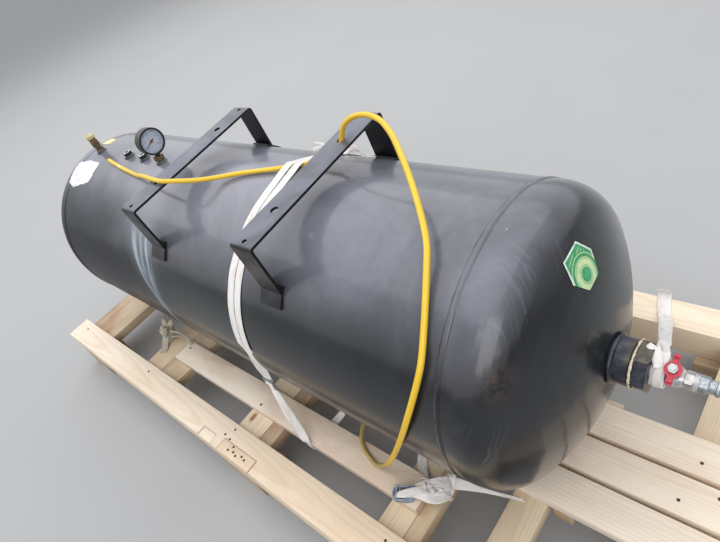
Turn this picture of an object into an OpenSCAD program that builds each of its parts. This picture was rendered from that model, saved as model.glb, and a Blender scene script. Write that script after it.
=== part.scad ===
// Horizontal pressure tank lashed on a softwood skid, in millimetres.
// X runs along the tank to its outlet, Y away from the viewer, Z up; the
// origin is the middle of the skid's underside.

/* [Tank] */
// Outside diameter of the shell
tank_od = 500; // [460:5:540]
// Wall of the shell and the heads
wall = 4; // [3:0.5:6]
// Length of the shell between its two girth seams
shell_len = 1288; // [1240:2:1330]
// Middle of the shell from the middle of the skid, along X
tank_shift = -52; // [-60:1:-44]
// Axis of the tank from the middle of the skid, along Y
tank_y = 16; // [8:1:24]
// Roll of the tank in its lashings, the crown towards the viewer
roll = 4.2; // [0:0.1:6]
// Straight flange of a head
head_flange = 14; // [10:1:20]
// Crown radius of a head, outside
crown_r = 400; // [380:5:440]
// Knuckle radius of a head, outside
knuckle_r = 77; // [65:1:90]
// Width of a girth weld
weld_w = 9; // [6:0.5:12]
// Height of a girth weld
weld_h = 1.6; // [1:0.1:2.5]

/* [Brackets] */
// Left bracket, from the left seam
bracket_left_at = 555; // [500:1:600]
// Right bracket, from the left seam
bracket_right_at = 946; // [900:1:960]
// Width of the flat bar
bar_w = 55; // [50:1:60]
// Thickness of the flat bar
bar_t = 5; // [4:0.5:6]
// Overall width of a bracket across its legs
bracket_w = 360; // [340:2:380]
// Top face of a bracket above the crown
bracket_rise = 36; // [33:1:40]
// Outside radius of a bend
bend_r = 8; // [7:0.5:10]
// Diameter of an outer bolt hole
hole_out_d = 9; // [7:0.5:10]
// Centres of the outer bolt holes
hole_out_pcd = 332; // [322:2:334]
// Diameter of an inner bolt hole
hole_in_d = 15; // [14:0.5:18]
// Centres of the inner bolt holes
hole_in_pcd = 184; // [182:1:186]
// Thickness of a foot pad
pad_t = 4; // [3:0.5:5]
// Length of a foot pad beyond the leg
pad_len = 26; // [18:1:32]

/* [Crown fittings] */
// Diameter of a welded boss
boss_d = 26; // [22:1:30]
// Height of a welded boss above the crown
boss_h = 5; // [4:0.5:8]
// Safety valve, from the left seam
relief_at = 48; // [40:1:60]
// Bore of the safety valve's foot
relief_bore = 8; // [6:0.5:10]
// Width across flats of the safety valve's foot
relief_af = 19; // [17:1:22]
// Diameter of the safety valve's body
relief_d = 21; // [19:0.5:24]
// Height of the safety valve's body
relief_h = 30; // [26:1:34]
// First plug, from the left seam
plug_left_at = 223; // [215:1:235]
// Second plug, from the left seam
plug_right_at = 308; // [300:1:320]
// Width across flats of a plug
plug_af = 19; // [17:0.5:22]
// Height of a plug's head
plug_h = 9; // [7:0.5:12]
// Gauge, from the left seam
gauge_at = 393; // [385:1:400]
// Width across flats of the gauge's adapter
adapter_af = 22; // [19:1:24]
// Height of the gauge's adapter
adapter_h = 13; // [11:0.5:16]
// Lean of the gauge against the tank's own roll
gauge_lean = 9; // [0:0.5:12]
// Outside diameter of the gauge case
case_d = 64; // [58:1:68]
// Depth of the gauge case
case_depth = 27; // [24:1:32]
// Wall of the gauge case
case_wall = 2.5; // [2:0.25:3]
// Width of the gauge's rim over its window
case_rim = 2; // [1.5:0.25:3]
// Diameter of the gauge's stem
gauge_stem_d = 12; // [10:0.5:14]
// Free height of the gauge's stem
gauge_stem_h = 5; // [4:0.5:8]

/* [Outlet] */
// Centre of the outlet above the tank's axis
outlet_rise = 8; // [4:1:12]
// Outside diameter of the outlet socket
socket_d = 70; // [66:1:74]
// Reach of the socket beyond the head
socket_reach = 28; // [24:1:30]
// Thread bore of the outlet socket
socket_bore = 56; // [50:1:58]
// Width across flats of the reducer
reducer_af = 66; // [62:1:68]
// Length of the reducer's hexagon
reducer_len = 20; // [17:1:22]
// Length of the valve's neck
neck_len = 16; // [15:1:18]
// Outside diameter of the valve's neck
neck_d = 19; // [17:0.5:21]
// Clear bore of the valve and its fittings
valve_bore = 11; // [9:0.5:12]
// Diameter of the valve's round housing
ball_d = 31; // [29:0.5:33]
// Lean of the valve's spindle towards the viewer
spindle_lean = 21.5; // [0:0.5:30]
// Diameter of the valve's spindle
spindle_d = 7; // [6:0.5:8]
// Underside of the handle above the valve's axis
handle_rise = 28; // [27:0.5:31]
// Span of the butterfly handle
handle_span = 44; // [40:1:46]
// Width of a wing of the handle
wing_w = 8; // [7:0.5:10]
// Thickness of the handle
handle_t = 3; // [2.5:0.25:4]
// Diameter of the handle's hub
hub_d = 22; // [20:0.5:24]
// Width across flats of the handle's nut
nut_af = 12; // [11:0.5:14]
// Width across flats of the valve's end
end_af = 23; // [21:0.5:25]
// Length of the valve's end
end_len = 11; // [9:0.5:13]
// Diameter of the ribbed collar
collar_d = 26; // [24:0.5:28]
// Length of the ribbed collar
collar_len = 6; // [5:0.5:8]
// Outside diameter of the coupling
coupling_d = 22; // [21:0.5:24]
// Length of the coupling
coupling_len = 24; // [22:1:27]
// Bore of the coupling
coupling_bore = 16; // [15:0.25:17]

/* [Skid] */
// Length of the skid
skid_len = 1840; // [1780:10:1900]
// Width of the skid
skid_w = 772; // [750:2:800]
// Width of a side timber
timber_w = 72; // [66:1:80]
// Height of a side timber
timber_h = 72; // [66:1:80]
// Height of the blocks under the side timbers
block_h = 72; // [66:1:80]
// Length of a block along the skid
block_len = 140; // [120:2:150]
// Width of a block across the skid
block_w = 92; // [86:1:100]
// Thickness of a deck board
board_t = 22; // [18:1:26]
// Thickness of a bearer
bearer_t = 30; // [24:1:34]
// Width of a carrying deck board
board_w = 68; // [60:1:72]
// Spacing of the carrying deck boards
board_pitch = 77; // [75:1:82]
// Middle of the carrying deck boards from the middle of the skid
board_shift = -18; // [-24:1:-14]
// Width of an outer deck board
edge_board_w = 65; // [60:1:72]
// Middle of an outer deck board from the middle of the skid
edge_board_y = 228.5; // [222:0.5:234]
// Left end of the outer deck boards
edge_board_x0 = -395; // [-405:1:-385]
// Right end of the outer deck boards
edge_board_x1 = 474; // [464:1:484]
// Width of the left end bearer
bearer_a_w = 156; // [150:1:160]
// Width of the second bearer
bearer_b_w = 172; // [164:1:180]
// Width of the middle bearer
bearer_c_w = 123; // [116:1:130]
// Width of the fourth bearer
bearer_d_w = 91; // [86:1:96]
// Width of the fifth bearer
bearer_e_w = 61; // [56:1:66]
// Width of the short batten
bearer_f_w = 32; // [28:1:36]
// Width of the right end bearer
bearer_g_w = 90; // [84:1:96]
// Left end bearer from the end of the skid
margin_left = 20; // [12:1:30]
// Right end bearer and the end blocks from the end of the skid
margin_right = 10; // [6:1:16]
// Middle of the second bearer
bearer_b_x = -419; // [-430:1:-410]
// Middle of the middle bearer
bearer_c_x = 23.5; // [16:0.5:30]
// Middle of the fourth bearer
bearer_d_x = 456.5; // [450:0.5:464]
// Middle of the fifth bearer
bearer_e_x = 632.5; // [626:0.5:638]
// Middle of the short batten
bearer_f_x = 688; // [684:1:696]

/* [Lashings] */
// Width of one strand of webbing
strap_w = 20; // [18:0.5:22]
// Thickness of the webbing
strap_t = 1.5; // [1:0.1:2]
// Middle of the strand pair from the left seam
strap_at = 844; // [836:1:850]
// Buckle from the middle of the strand pair, to the left
buckle_shift = 30; // [24:1:36]
// Buckle below the tank's axis
buckle_drop = 108; // [100:1:116]
// Drift of the strands to the left, down the near side
strap_drift = 18; // [10:1:22]
// Tail on the outer board from the middle of the strand pair
tail_shift = 33; // [26:1:40]
// Knot from the left end of the outer board
knot_shift = 95; // [84:1:104]
// Radius of the knot
knot_r = 20; // [16:0.5:22]
// Height of the knot
knot_h = 58; // [48:1:64]
// Reach of the knot's loose end towards the viewer
knot_run = 58; // [50:1:62]
// Reach of the tensioner's loose end along the skid
loose_run = 184; // [160:1:200]
// Reach of the tensioner's loose end across the skid
loose_side = 103; // [80:1:104]
// Webbing over the far timber from the right seam
far_strap_at = 115; // [108:1:120]
// Drift of that webbing to the left, across the timber
far_drift = 20; // [12:1:26]
// Thickness of the webbing wound round the valve's neck
wrap_t = 10; // [8:0.5:11]
// Outside diameter of the hose
hose_d = 9.6; // [9:0.1:10]

/* [Fits] */
// Clearance of a seated piece
seat_gap = 0.2; // [0.1:0.05:0.3]
// Clearance of a turning piece
turn_gap = 0.3; // [0.2:0.05:0.4]

/* [Hidden] */
$fn = 64;
tank_fn = 360;
tank_r = tank_od / 2;
left_seam = tank_shift - shell_len / 2;
right_seam = tank_shift + shell_len / 2;
deck_z = block_h + timber_h;
axis_z = deck_z + 2 * seat_gap + weld_h + tank_r;
bearer_z = deck_z - board_t - bearer_t;
inner_y = skid_w / 2 - timber_w;

// Head form: a knuckle arc runs into a crown arc.
knuckle_c = tank_r - knuckle_r;
crown_half = asin(knuckle_c / (crown_r - knuckle_r));
head_depth = crown_r - sqrt(pow(crown_r - knuckle_r, 2) - pow(knuckle_c, 2));
crown_cx = head_flange + head_depth - crown_r;
head_len = head_flange + head_depth;

bracket_top = tank_r + bracket_rise;
leg_out = bracket_w / 2;
pad_out_r = tank_r + seat_gap + pad_t;
leg_a = asin((leg_out - bar_t) / pad_out_r);
pad_a = asin(leg_out / pad_out_r) + pad_len / tank_r * 57.3;

case_r = case_d / 2;
gauge_up = boss_h + seat_gap + adapter_h + seat_gap + gauge_stem_h + case_r;
window_r = case_r - case_wall - case_rim;
recess = 8;
dial_t = 1;
glass_t = 2;

// Places along the outlet, from the right seam.
socket_x1 = head_len + socket_reach;
reducer_x1 = socket_x1 + seat_gap + reducer_len;
ball_x = reducer_x1 + neck_len + ball_d / 2 - 4;
end_x0 = ball_x + ball_d / 2 - 3;
end_x1 = end_x0 + end_len;
collar_x1 = end_x1 + seat_gap + collar_len;
coupling_x1 = collar_x1 + seat_gap + coupling_len;
bonnet_h = handle_rise - 7;
spindle_h = handle_rise + handle_t + 6.5;

// Helpers.

// Stands a piece at a place along the rolled tank, with z from its axis.
module on_tank(at) {
    translate([left_seam + at, tank_y, axis_z]) rotate([roll, 0, 0])
        children();
}

// Lays a piece along the outlet's axis, with z running outwards.
module on_outlet(at) {
    translate([right_seam + at, tank_y, axis_z + outlet_rise])
        rotate([0, 90, 0]) children();
}

// Stands a piece on the valve's spindle.
module on_spindle() {
    translate([right_seam + ball_x, tank_y, axis_z + outlet_rise])
        rotate([spindle_lean, 0, 0]) children();
}

// Draws a flat outline of Y and Z and gives it a length along X.
module across(len) {
    rotate([90, 0, 90]) linear_extrude(len, center = true) children();
}

module hexagon(af, h) {
    cylinder(d = af / cos(30), h = h, $fn = 6);
}

// A hexagon whose top corners are turned off.
module turned_hexagon(af, h, drop = 1.2) {
    intersection() {
        hexagon(af, h);
        rotate_extrude() polygon([[0, 0], [af * 0.6, 0],
            [af * 0.6, h - drop], [af * 0.6 - 2 * drop, h], [0, h]]);
    }
}

module ring(r1, r0, h) {
    difference() {
        cylinder(r = r1, h = h);
        translate([0, 0, -1]) cylinder(r = r0, h = h + 2);
    }
}

// Tank.

function arc(cx, cy, r, a0, a1, n) =
    [for (i = [0 : n]) let (a = a0 + (a1 - a0) * i / n)
        [cx + r * cos(a), cy + r * sin(a)]];

// Outline of a head from its rim to its pole; t takes off the wall.
function head_line(t) = concat(
    [[tank_r - t, 0]],
    arc(knuckle_c, head_flange, knuckle_r - t, 0, 90 - crown_half, 9),
    arc(0, crown_cx, crown_r - t, 90 - crown_half * 7 / 8, 90, 7));

module head_shape() {
    outer = head_line(0);
    inner = head_line(wall);
    rotate_extrude($fn = 96) polygon(concat(outer,
        [for (i = [len(inner) - 1 : -1 : 0]) inner[i]]));
}

module tank_shell() {
    color("#2b2e31") difference() {
        translate([left_seam, tank_y, axis_z]) rotate([0, 90, 0])
            ring(tank_r, tank_r - wall, shell_len, $fn = tank_fn / 2);
        on_tank(relief_at) cylinder(d = relief_bore, h = tank_r + 1);
        on_tank(gauge_at) cylinder(d = relief_bore, h = tank_r + 1);
    }
}

module left_head() {
    color("#2b2e31") translate([left_seam, tank_y, axis_z])
        rotate([0, -90, 0]) head_shape();
}

module right_head() {
    color("#2b2e31") difference() {
        translate([right_seam, tank_y, axis_z]) rotate([0, 90, 0])
            head_shape();
        on_outlet(head_len / 2)
            cylinder(d = socket_d + 2 * seat_gap, h = head_len);
    }
}

module girth_welds() {
    color("#26292c") for (x = [left_seam, right_seam])
        translate([x, tank_y, axis_z]) rotate([0, 90, 0])
            rotate_extrude($fn = 96) polygon([
                [tank_r + seat_gap, -weld_w / 2],
                [tank_r + seat_gap + weld_h * 0.7, -weld_w / 4],
                [tank_r + seat_gap + weld_h, 0],
                [tank_r + seat_gap + weld_h * 0.7, weld_w / 4],
                [tank_r + seat_gap, weld_w / 2]]);
}

// Brackets of bent flat bar.

module bend_section() {
    difference() {
        circle(r = bend_r);
        circle(r = bend_r - bar_t);
        translate([-2 * bend_r, -bend_r]) square([2 * bend_r, 2 * bend_r]);
        translate([-1, -2 * bend_r]) square([2 * bend_r, 2 * bend_r]);
    }
}

module bracket(at) {
    on_tank(at) color("#24272a") difference() {
        union() {
            translate([-bar_w / 2, bend_r - leg_out, bracket_top - bar_t])
                cube([bar_w, bracket_w - 2 * bend_r, bar_t]);
            for (s = [-1, 1]) {
                mirror([0, s < 0 ? 1 : 0, 0])
                    translate([0, leg_out - bend_r, bracket_top - bend_r])
                        across(bar_w) bend_section();
                translate([-bar_w / 2, s * (leg_out - bar_t / 2) - bar_t / 2,
                    tank_r / 2])
                    cube([bar_w, bar_t, bracket_top - bend_r - tank_r / 2]);
            }
        }
        translate([-bar_w, 0, 0]) rotate([0, 90, 0])
            cylinder(r = pad_out_r + seat_gap, h = 2 * bar_w,
                $fn = tank_fn);
        for (s = [-1, 1]) {
            translate([0, s * hole_out_pcd / 2, bracket_top - 2 * bar_t])
                cylinder(d = hole_out_d, h = 3 * bar_t);
            translate([0, s * hole_in_pcd / 2, bracket_top - 2 * bar_t])
                cylinder(d = hole_in_d, h = 3 * bar_t);
        }
    }
}

module bracket_left() { bracket(bracket_left_at); }

module bracket_right() { bracket(bracket_right_at); }

// Curved pads between the shell and the legs.
module bracket_pads() {
    r0 = tank_r + seat_gap;
    color("#24272a") for (at = [bracket_left_at, bracket_right_at])
        for (s = [-1, 1]) on_tank(at) mirror([0, s < 0 ? 1 : 0, 0])
            across(bar_w) intersection() {
                difference() {
                    circle(r = pad_out_r, $fn = tank_fn);
                    circle(r = r0, $fn = tank_fn);
                }
                polygon([[0, 0],
                    2 * tank_r * [sin(leg_a - 2), cos(leg_a - 2)],
                    2 * tank_r * [sin(pad_a), cos(pad_a)]]);
            }
}

// Fittings on the crown.

module boss(at) {
    on_tank(at) difference() {
        translate([0, 0, tank_r - 3]) rotate_extrude()
            polygon([[relief_bore / 2, 0], [boss_d / 2 + 1.5, 0],
                [boss_d / 2 + 1.5, 4], [boss_d / 2, 6],
                [boss_d / 2, boss_h + 2.4], [boss_d / 2 - 0.6, boss_h + 3],
                [relief_bore / 2, boss_h + 3]]);
        translate([-boss_d, 0, 0]) rotate([0, 90, 0])
            cylinder(r = tank_r + seat_gap, h = 2 * boss_d, $fn = tank_fn);
    }
}

module crown_bosses() {
    color("#2a2d30")
        for (at = [relief_at, plug_left_at, plug_right_at, gauge_at])
            boss(at);
}

boss_top = tank_r + boss_h + seat_gap;

module relief_valve_foot() {
    color("#8a7350") on_tank(relief_at)
        translate([0, 0, boss_top]) difference() {
            turned_hexagon(relief_af, 8);
            translate([0, 0, -1]) cylinder(d = relief_bore, h = 12);
        }
}

module relief_valve_body() {
    r = relief_d / 2;
    color("#8a7350") on_tank(relief_at)
        translate([0, 0, boss_top + 8 + seat_gap]) difference() {
            union() {
                rotate_extrude() polygon([[0, 0], [r - 3, 0], [r - 3, 3],
                    [r, 5], [r, relief_h - 8], [r - 1.5, relief_h - 6.5],
                    [r - 1.5, relief_h - 5], [r - 0.5, relief_h - 4],
                    [r - 0.5, relief_h], [0, relief_h]]);
                translate([0, 0, 13]) rotate([0, -90, 0])
                    cylinder(r = r * 0.62, h = r + 6);
            }
            translate([0, 0, -1]) cylinder(d = relief_bore, h = 15);
            translate([0, 0, 13]) rotate([0, -90, 0])
                cylinder(r = r * 0.42, h = r + 8);
        }
}

module relief_valve_cap() {
    r = relief_d / 2;
    color("#c9c08a") on_tank(relief_at)
        translate([0, 0, boss_top + 8 + 2 * seat_gap + relief_h])
            rotate_extrude() polygon([[0, 0], [r, 0], [r + 1, 1.5],
                [r + 1, 7], [r - 1, 10], [r - 5, 12], [0, 12.5]]);
}

module crown_plugs() {
    color("#1d1f21") for (at = [plug_left_at, plug_right_at])
        on_tank(at) translate([0, 0, boss_top]) {
            difference() {
                turned_hexagon(plug_af, plug_h);
                translate([0, 0, plug_h - 3])
                    cylinder(d = plug_af * 0.55, h = 4);
            }
        }
}

// The gauge leans about the foot of its adapter.
module on_gauge() {
    on_tank(gauge_at) translate([0, 0, boss_top])
        rotate([-gauge_lean, 0, 0]) children();
}

module gauge_adapter() {
    color("#9a7a45") difference() {
        union() {
            on_gauge() translate([0, 0, 2]) turned_hexagon(adapter_af,
                adapter_h - 2);
            on_gauge() cylinder(d = adapter_af - 4, h = 3);
        }
        on_gauge() translate([0, 0, -1])
            cylinder(d = relief_bore, h = adapter_h + 2);
        on_tank(gauge_at) translate([0, 0, boss_top - 10])
            cylinder(d = 2 * boss_d, h = 10);
    }
}

// Places a piece on the dial's axis, with z towards the reader.
module on_dial() {
    on_gauge() translate([0, 0, gauge_up - boss_h - seat_gap])
        rotate([0, 90, 0]) children();
}

module gauge_case() {
    r = case_r;
    h = case_depth / 2;
    color("#1b1c1e") union() {
        difference() {
            on_dial() rotate_extrude() polygon([[0, -h], [r - 4, -h],
                [r - 1, 2 - h], [r - 1, h - 6], [r, h - 5], [r, h - 1],
                [r - 1, h], [window_r, h],
                [window_r, h - glass_t - seat_gap],
                [r - case_wall, h - glass_t - seat_gap],
                [r - case_wall, h - recess], [0, h - recess]]);
            on_dial() translate([0, 0, -h + case_wall])
                cylinder(r = r - 4, h = case_depth - recess - 2 * case_wall);
        }
        difference() {
            on_gauge() translate([0, 0, adapter_h + seat_gap])
                cylinder(d = gauge_stem_d, h = gauge_stem_h + 6);
            on_dial() translate([0, 0, -h]) cylinder(r = r - case_wall,
                h = case_depth);
        }
    }
}

module gauge_dial() {
    color("#f2f2ee") on_dial()
        translate([0, 0, case_depth / 2 - recess + seat_gap])
            difference() {
                cylinder(r = case_r - case_wall - seat_gap, h = dial_t);
                translate([0, 0, -1]) cylinder(r = 1.4, h = dial_t + 2);
            }
}

module gauge_pointer() {
    color("#b3202a") on_dial()
        translate([0, 0, case_depth / 2 - recess + 2 * seat_gap + dial_t]) {
            cylinder(r = 3, h = 1.6);
            rotate([0, 0, -62]) linear_extrude(1)
                polygon([[-8, -1.4], [-8, 1.4], [2, 1.2],
                    [window_r - 5, 0.4], [window_r - 5, -0.4], [2, -1.2]]);
        }
}

module gauge_glass() {
    color("#dfe6e8", 0.35) on_dial()
        translate([0, 0, case_depth / 2 - 2 * glass_t - 2 * seat_gap])
            cylinder(r = case_r - case_wall - seat_gap, h = glass_t);
}

// Outlet and valve.

module outlet_socket() {
    r = socket_d / 2;
    x0 = head_len - 12;
    h = socket_x1 - x0;
    color("#222426") on_outlet(x0) rotate_extrude()
        polygon([[socket_bore / 2, 0], [r, 0], [r, 12.4],
            [r + 4, 12.4], [r + 3.2, 14.6], [r, 16.8], [r, h - 4],
            [r - 1, h - 3], [r - 1, h - 1], [r - 2, h],
            [socket_bore / 2, h]]);
}

module outlet_reducer() {
    color("#26282a") on_outlet(socket_x1 + seat_gap) difference() {
        union() {
            rotate([0, 0, 90]) turned_hexagon(reducer_af, reducer_len, 2);
            translate([0, 0, -9]) cylinder(d = socket_bore - 2 * seat_gap,
                h = 10);
        }
        translate([0, 0, -10]) cylinder(d = neck_d + 2 * seat_gap,
            h = reducer_len + 12);
    }
}

module valve_body() {
    r = ball_d / 2;
    x0 = reducer_x1 - 8;
    b = ball_x - x0;
    e = end_x0 - x0;
    color("#b9b4a4") difference() {
        union() {
            on_outlet(x0) rotate_extrude() polygon([
                [valve_bore / 2, 0], [neck_d / 2, 0],
                [neck_d / 2, b - r + 1], [r * 0.72, b - r + 2],
                [r * 0.93, b - r * 0.4], [r, b - 2], [r, b + 2],
                [r * 0.93, b + r * 0.4], [r * 0.72, e], [valve_bore / 2, e]]);
            on_outlet(reducer_x1 + neck_len - 5) difference() {
                hexagon(end_af + 2, 6);
                translate([0, 0, -1]) cylinder(r = neck_d / 2 - 1, h = 8);
            }
            difference() {
                on_spindle() cylinder(r = 9, h = bonnet_h);
                on_outlet(ball_x - ball_d) cylinder(r = r - 1,
                    h = 2 * ball_d);
            }
        }
        on_spindle() translate([0, 0, r - 5])
            cylinder(d = spindle_d + 2 * turn_gap, h = bonnet_h);
    }
}

module valve_spindle() {
    color("#a9a595") on_spindle() translate([0, 0, ball_d / 2 - 4])
        cylinder(d = spindle_d, h = spindle_h - ball_d / 2 + 4);
}

// Butterfly handle: a hub with two wings that turn up at their tips.
module valve_handle() {
    tip = handle_span / 2;
    color("#c3242f") on_spindle() translate([0, 0, handle_rise])
        difference() {
            union() {
                cylinder(d = hub_d, h = handle_t);
                for (s = [0, 1]) mirror([0, s, 0]) {
                    intersection() {
                        translate([-wing_w / 2, 0, 0]) cube([wing_w, tip, handle_t]);
                        translate([0, 0, -1]) cylinder(r = tip,
                            h = handle_t + 2);
                    }
                    translate([-wing_w / 2 + 0.5, tip - 4, 0])
                        rotate([12, 0, 0]) translate([0, 0, handle_t - 0.6])
                            cube([wing_w - 1, 2.5, 5]);
                }
            }
            translate([0, 0, -1]) cylinder(d = spindle_d + 2 * seat_gap,
                h = handle_t + 2);
        }
}

module handle_nut() {
    color("#c9ccce") on_spindle()
        translate([0, 0, handle_rise + handle_t + seat_gap]) difference() {
            turned_hexagon(nut_af, 5, 0.7);
            translate([0, 0, -1]) cylinder(d = spindle_d + 2 * seat_gap,
                h = 8);
        }
}

module valve_end() {
    color("#c8c6bd") on_outlet(end_x0 + seat_gap) difference() {
        intersection() {
            hexagon(end_af, end_len - seat_gap);
            rotate_extrude() polygon([[0, 0], [end_af * 0.52, 0],
                [end_af * 0.58, 1.5], [end_af * 0.58, end_len - 2],
                [end_af * 0.52, end_len], [0, end_len]]);
        }
        translate([0, 0, -1]) cylinder(d = valve_bore, h = end_len + 2);
    }
}

module valve_collar() {
    n = 24;
    color("#bdbdb6") on_outlet(end_x1 + seat_gap) difference() {
        cylinder(d = collar_d, h = collar_len);
        translate([0, 0, -1]) cylinder(d = valve_bore, h = collar_len + 2);
        for (i = [0 : n - 1]) rotate([0, 0, i * 360 / n])
            translate([collar_d / 2 - 0.8, -0.8, -1])
                cube([3, 1.6, collar_len + 2]);
    }
}

module hose_coupling() {
    r = coupling_d / 2;
    color("#aeb0ae") on_outlet(collar_x1 + seat_gap) difference() {
        union() {
            rotate_extrude() polygon([[0, 0], [r, 0], [r, 10], [r - 1.5, 12],
                [r - 1.5, coupling_len - 5], [r, coupling_len - 4],
                [r, coupling_len - 1], [r - 1, coupling_len],
                [0, coupling_len]]);
            intersection() {
                cylinder(r = r + 1.6, h = 10);
                hexagon(coupling_d + 1, 10);
            }
        }
        translate([0, 0, 4]) cylinder(d = coupling_bore,
            h = coupling_len);
        translate([0, 0, -1]) cylinder(d = valve_bore, h = 8);
    }
}

// Webbing.

// A band through points p, with half its width as vectors w and half
// its thickness as vectors t.
module band(p, w, t) {
    n = len(p);
    f = cross(w[0], t[0]) * (p[1] - p[0]) < 0 ? -1 : 1;
    pts = [for (i = [0 : n - 1]) each [p[i] - w[i] - f * t[i],
        p[i] + w[i] - f * t[i], p[i] + w[i] + f * t[i],
        p[i] - w[i] + f * t[i]]];
    sides = [for (i = [0 : n - 2]) for (k = [0 : 3]) let (a = 4 * i + k,
        b = 4 * i + (k + 1) % 4) each [[a, b + 4, b], [a, a + 4, b + 4]]];
    polyhedron(pts, concat([[0, 1, 2, 3]], sides,
        [[4 * n - 1, 4 * n - 2, 4 * n - 3, 4 * n - 4]]));
}

strap_half = strap_t / 2;
chord = 10;
lap_r = (tank_r + seat_gap) / cos(chord / 2) + strap_half;
hump_r = tank_r + hose_d + strap_t + 4.2;

// A point round the tank, with the angle from its top to the viewer.
function lap(a, r) = [tank_y - r * sin(a), axis_z + r * cos(a)];
function lap_out(a) = [0, -sin(a), cos(a)] * strap_half;

edge_y = edge_board_y + edge_board_w / 2;
board_under = deck_z - board_t;

module strand(s, w) {
    x = strap_x + s * (strap_w / 2 + 0.4);
    function drift(a) = strap_drift * min(max(a - 30, 0) / 60, 1.15);
    angles = concat([for (a = [100 : -chord : 10]) a], [-2, -7, -12],
        [for (a = [-27, -38, -49, -60, -70, -80, -90]) a]);
    radii = [for (a = angles) a < 0 && a > -15 ? hump_r : lap_r];
    ring_p = [for (i = [0 : len(angles) - 1]) let (q = lap(angles[i],
        radii[i])) [x - drift(angles[i]), q[0], q[1]]];
    ring_t = [for (a = angles) lap_out(a)];
    o = strap_half + seat_gap;
    far = [[x, edge_y + o, deck_z + 8], [x, edge_y + o, board_under],
        [x, edge_y - 3, board_under - o], [x, edge_y - 45, board_under - o]];
    far_t = [[0, strap_half, 0], [0, strap_half, 0],
        [0, 0, -strap_half], [0, 0, -strap_half]];
    near = [buckle_p + [4 + s * 7, 0, 14.3], buckle_p + [5 + s * 8, 0, 22]];
    near_t = [[0, -strap_half, 0], [0, -strap_half, 0]];
    p = concat(near, ring_p, far);
    band(p, [for (i = [0 : len(p) - 1]) [i < 2 ? 5 : w / 2, 0, 0]],
        concat(near_t, ring_t, far_t));
}

strap_x = left_seam + strap_at;

module strap_pair() {
    color("#e6dfd0") for (s = [-1, 1])
        strand(s, strap_w - 0.4);
}

buckle_p = [strap_x - buckle_shift, tank_y - tank_r + 1,
    axis_z - buckle_drop];

module strap_buckle() {
    color("#9aa0a4") translate(buckle_p) difference() {
        translate([-17, -2.5, -14]) cube([34, 5, 28]);
        for (z = [-8, 3]) translate([-12.5, -4, z]) cube([25, 8, 5]);
        translate([-18, 1, -9]) cube([36, 3, 18]);
    }
}

module strap_tail() {
    o = strap_half + seat_gap;
    x1 = strap_x + tail_shift;
    p = [buckle_p + [4, 0, -14.4], [x1 - 12, -edge_y - 2.5, deck_z + 24],
        [x1, -edge_y - o, deck_z + 1], [x1, -edge_y - o, board_under],
        [x1, 3 - edge_y, board_under - o],
        [x1 + 4, edge_board_w - edge_y - 2, board_under - o],
        [x1 + 12, edge_board_w - edge_y + 34, board_under + 6]];
    w = [for (i = [0 : len(p) - 1]) [strap_w / 2, 0, 0]];
    t = [[0, -strap_half, 0], [0, -strap_half, 0], [0, -strap_half, 0],
        [0, -strap_half, 0], [0, 0, -strap_half], [0, 0, -strap_half],
        [0, 0, -strap_half]];
    color("#e6dfd0") band(p, w, t);
}

// Knotted webbing on the second bearer, beside the outer board.
knot_p = [edge_board_x0 - knot_shift, -edge_board_y + 13, bearer_z + bearer_t];

module strap_knot() {
    o = strap_half + seat_gap;
    near = knot_r + 0.3;
    lay = knot_run - near;
    p = [[0, -near, 7], [0, -near - lay * 0.2, 3],
        [2, -near - lay * 0.45, o], [6, -knot_run, o]];
    rise = deck_z - knot_p[2];
    q = [[near, 1, rise + 4], [near + 24, 4, rise + 9],
        [knot_shift + 2, 6, rise + o + 0.8], [knot_shift + 34, 8, rise + o]];
    r = knot_r;
    h = knot_h;
    color("#c9c2b2") {
        translate(knot_p + [0, 0, seat_gap]) rotate_extrude($fn = 12)
            polygon([[0, 0], [r * 0.65, 0], [r * 0.95, h * 0.14],
                [r, h * 0.34], [r * 0.7, h * 0.54], [r * 0.9, h * 0.7],
                [r * 0.75, h * 0.88], [r * 0.4, h], [0, h * 0.98]]);
        translate(knot_p) band(p, [for (i = p) [strap_w / 2, 0, 0]],
            [for (i = p) [0, 0, strap_half]]);
        translate(knot_p) band(q, [for (i = q) [0, strap_w / 2, 0]],
            [for (i = q) [0, 0, strap_half]]);
    }
}

// Webbing round the valve's neck and over the far timber.
neck_r = neck_d / 2 + seat_gap;
neck_x = reducer_x1 + neck_len / 2 - 2;
far_strap_x = right_seam + far_strap_at;

module valve_strap() {
    r = neck_r + wrap_t;
    z0 = axis_z + outlet_rise;
    x = right_seam + neck_x;
    y1 = skid_w / 2;
    o = strap_half + seat_gap;
    color("#efeae0") {
        on_outlet(neck_x - 4.5) ring(r, neck_r, 9);
        difference() {
            band([[x, tank_y + r + 1, z0 - 2],
                [x - 6, tank_y + r + 50, z0 - 40],
                [far_strap_x + 3, inner_y - 5, deck_z + 12],
                [far_strap_x, inner_y + 8, deck_z + o],
                [far_strap_x - far_drift * 0.8, y1 - 3, deck_z + o],
                [far_strap_x - far_drift, y1 + 5, deck_z + 5],
                [far_strap_x - far_drift - 1, y1 + 8, deck_z + 13]],
                [[4, 0, 0], [9, 0, 0], [12, 0, 0], [12, 0, 0], [12, 0, 0],
                [12, 0, 0], [12, 0, 0]],
                [[0, strap_half, strap_half], [0, strap_half, strap_half],
                [0, strap_half, strap_half], [0, 0, strap_half],
                [0, 0, strap_half], [0, -strap_half, strap_half],
                [0, -strap_half, 0]]);
            on_outlet(neck_x - 20) cylinder(r = r + seat_gap, h = 40);
        }
    }
}

ratchet_x = edge_board_x1 - 42;
ratchet_y = -edge_board_y - 17;

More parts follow.
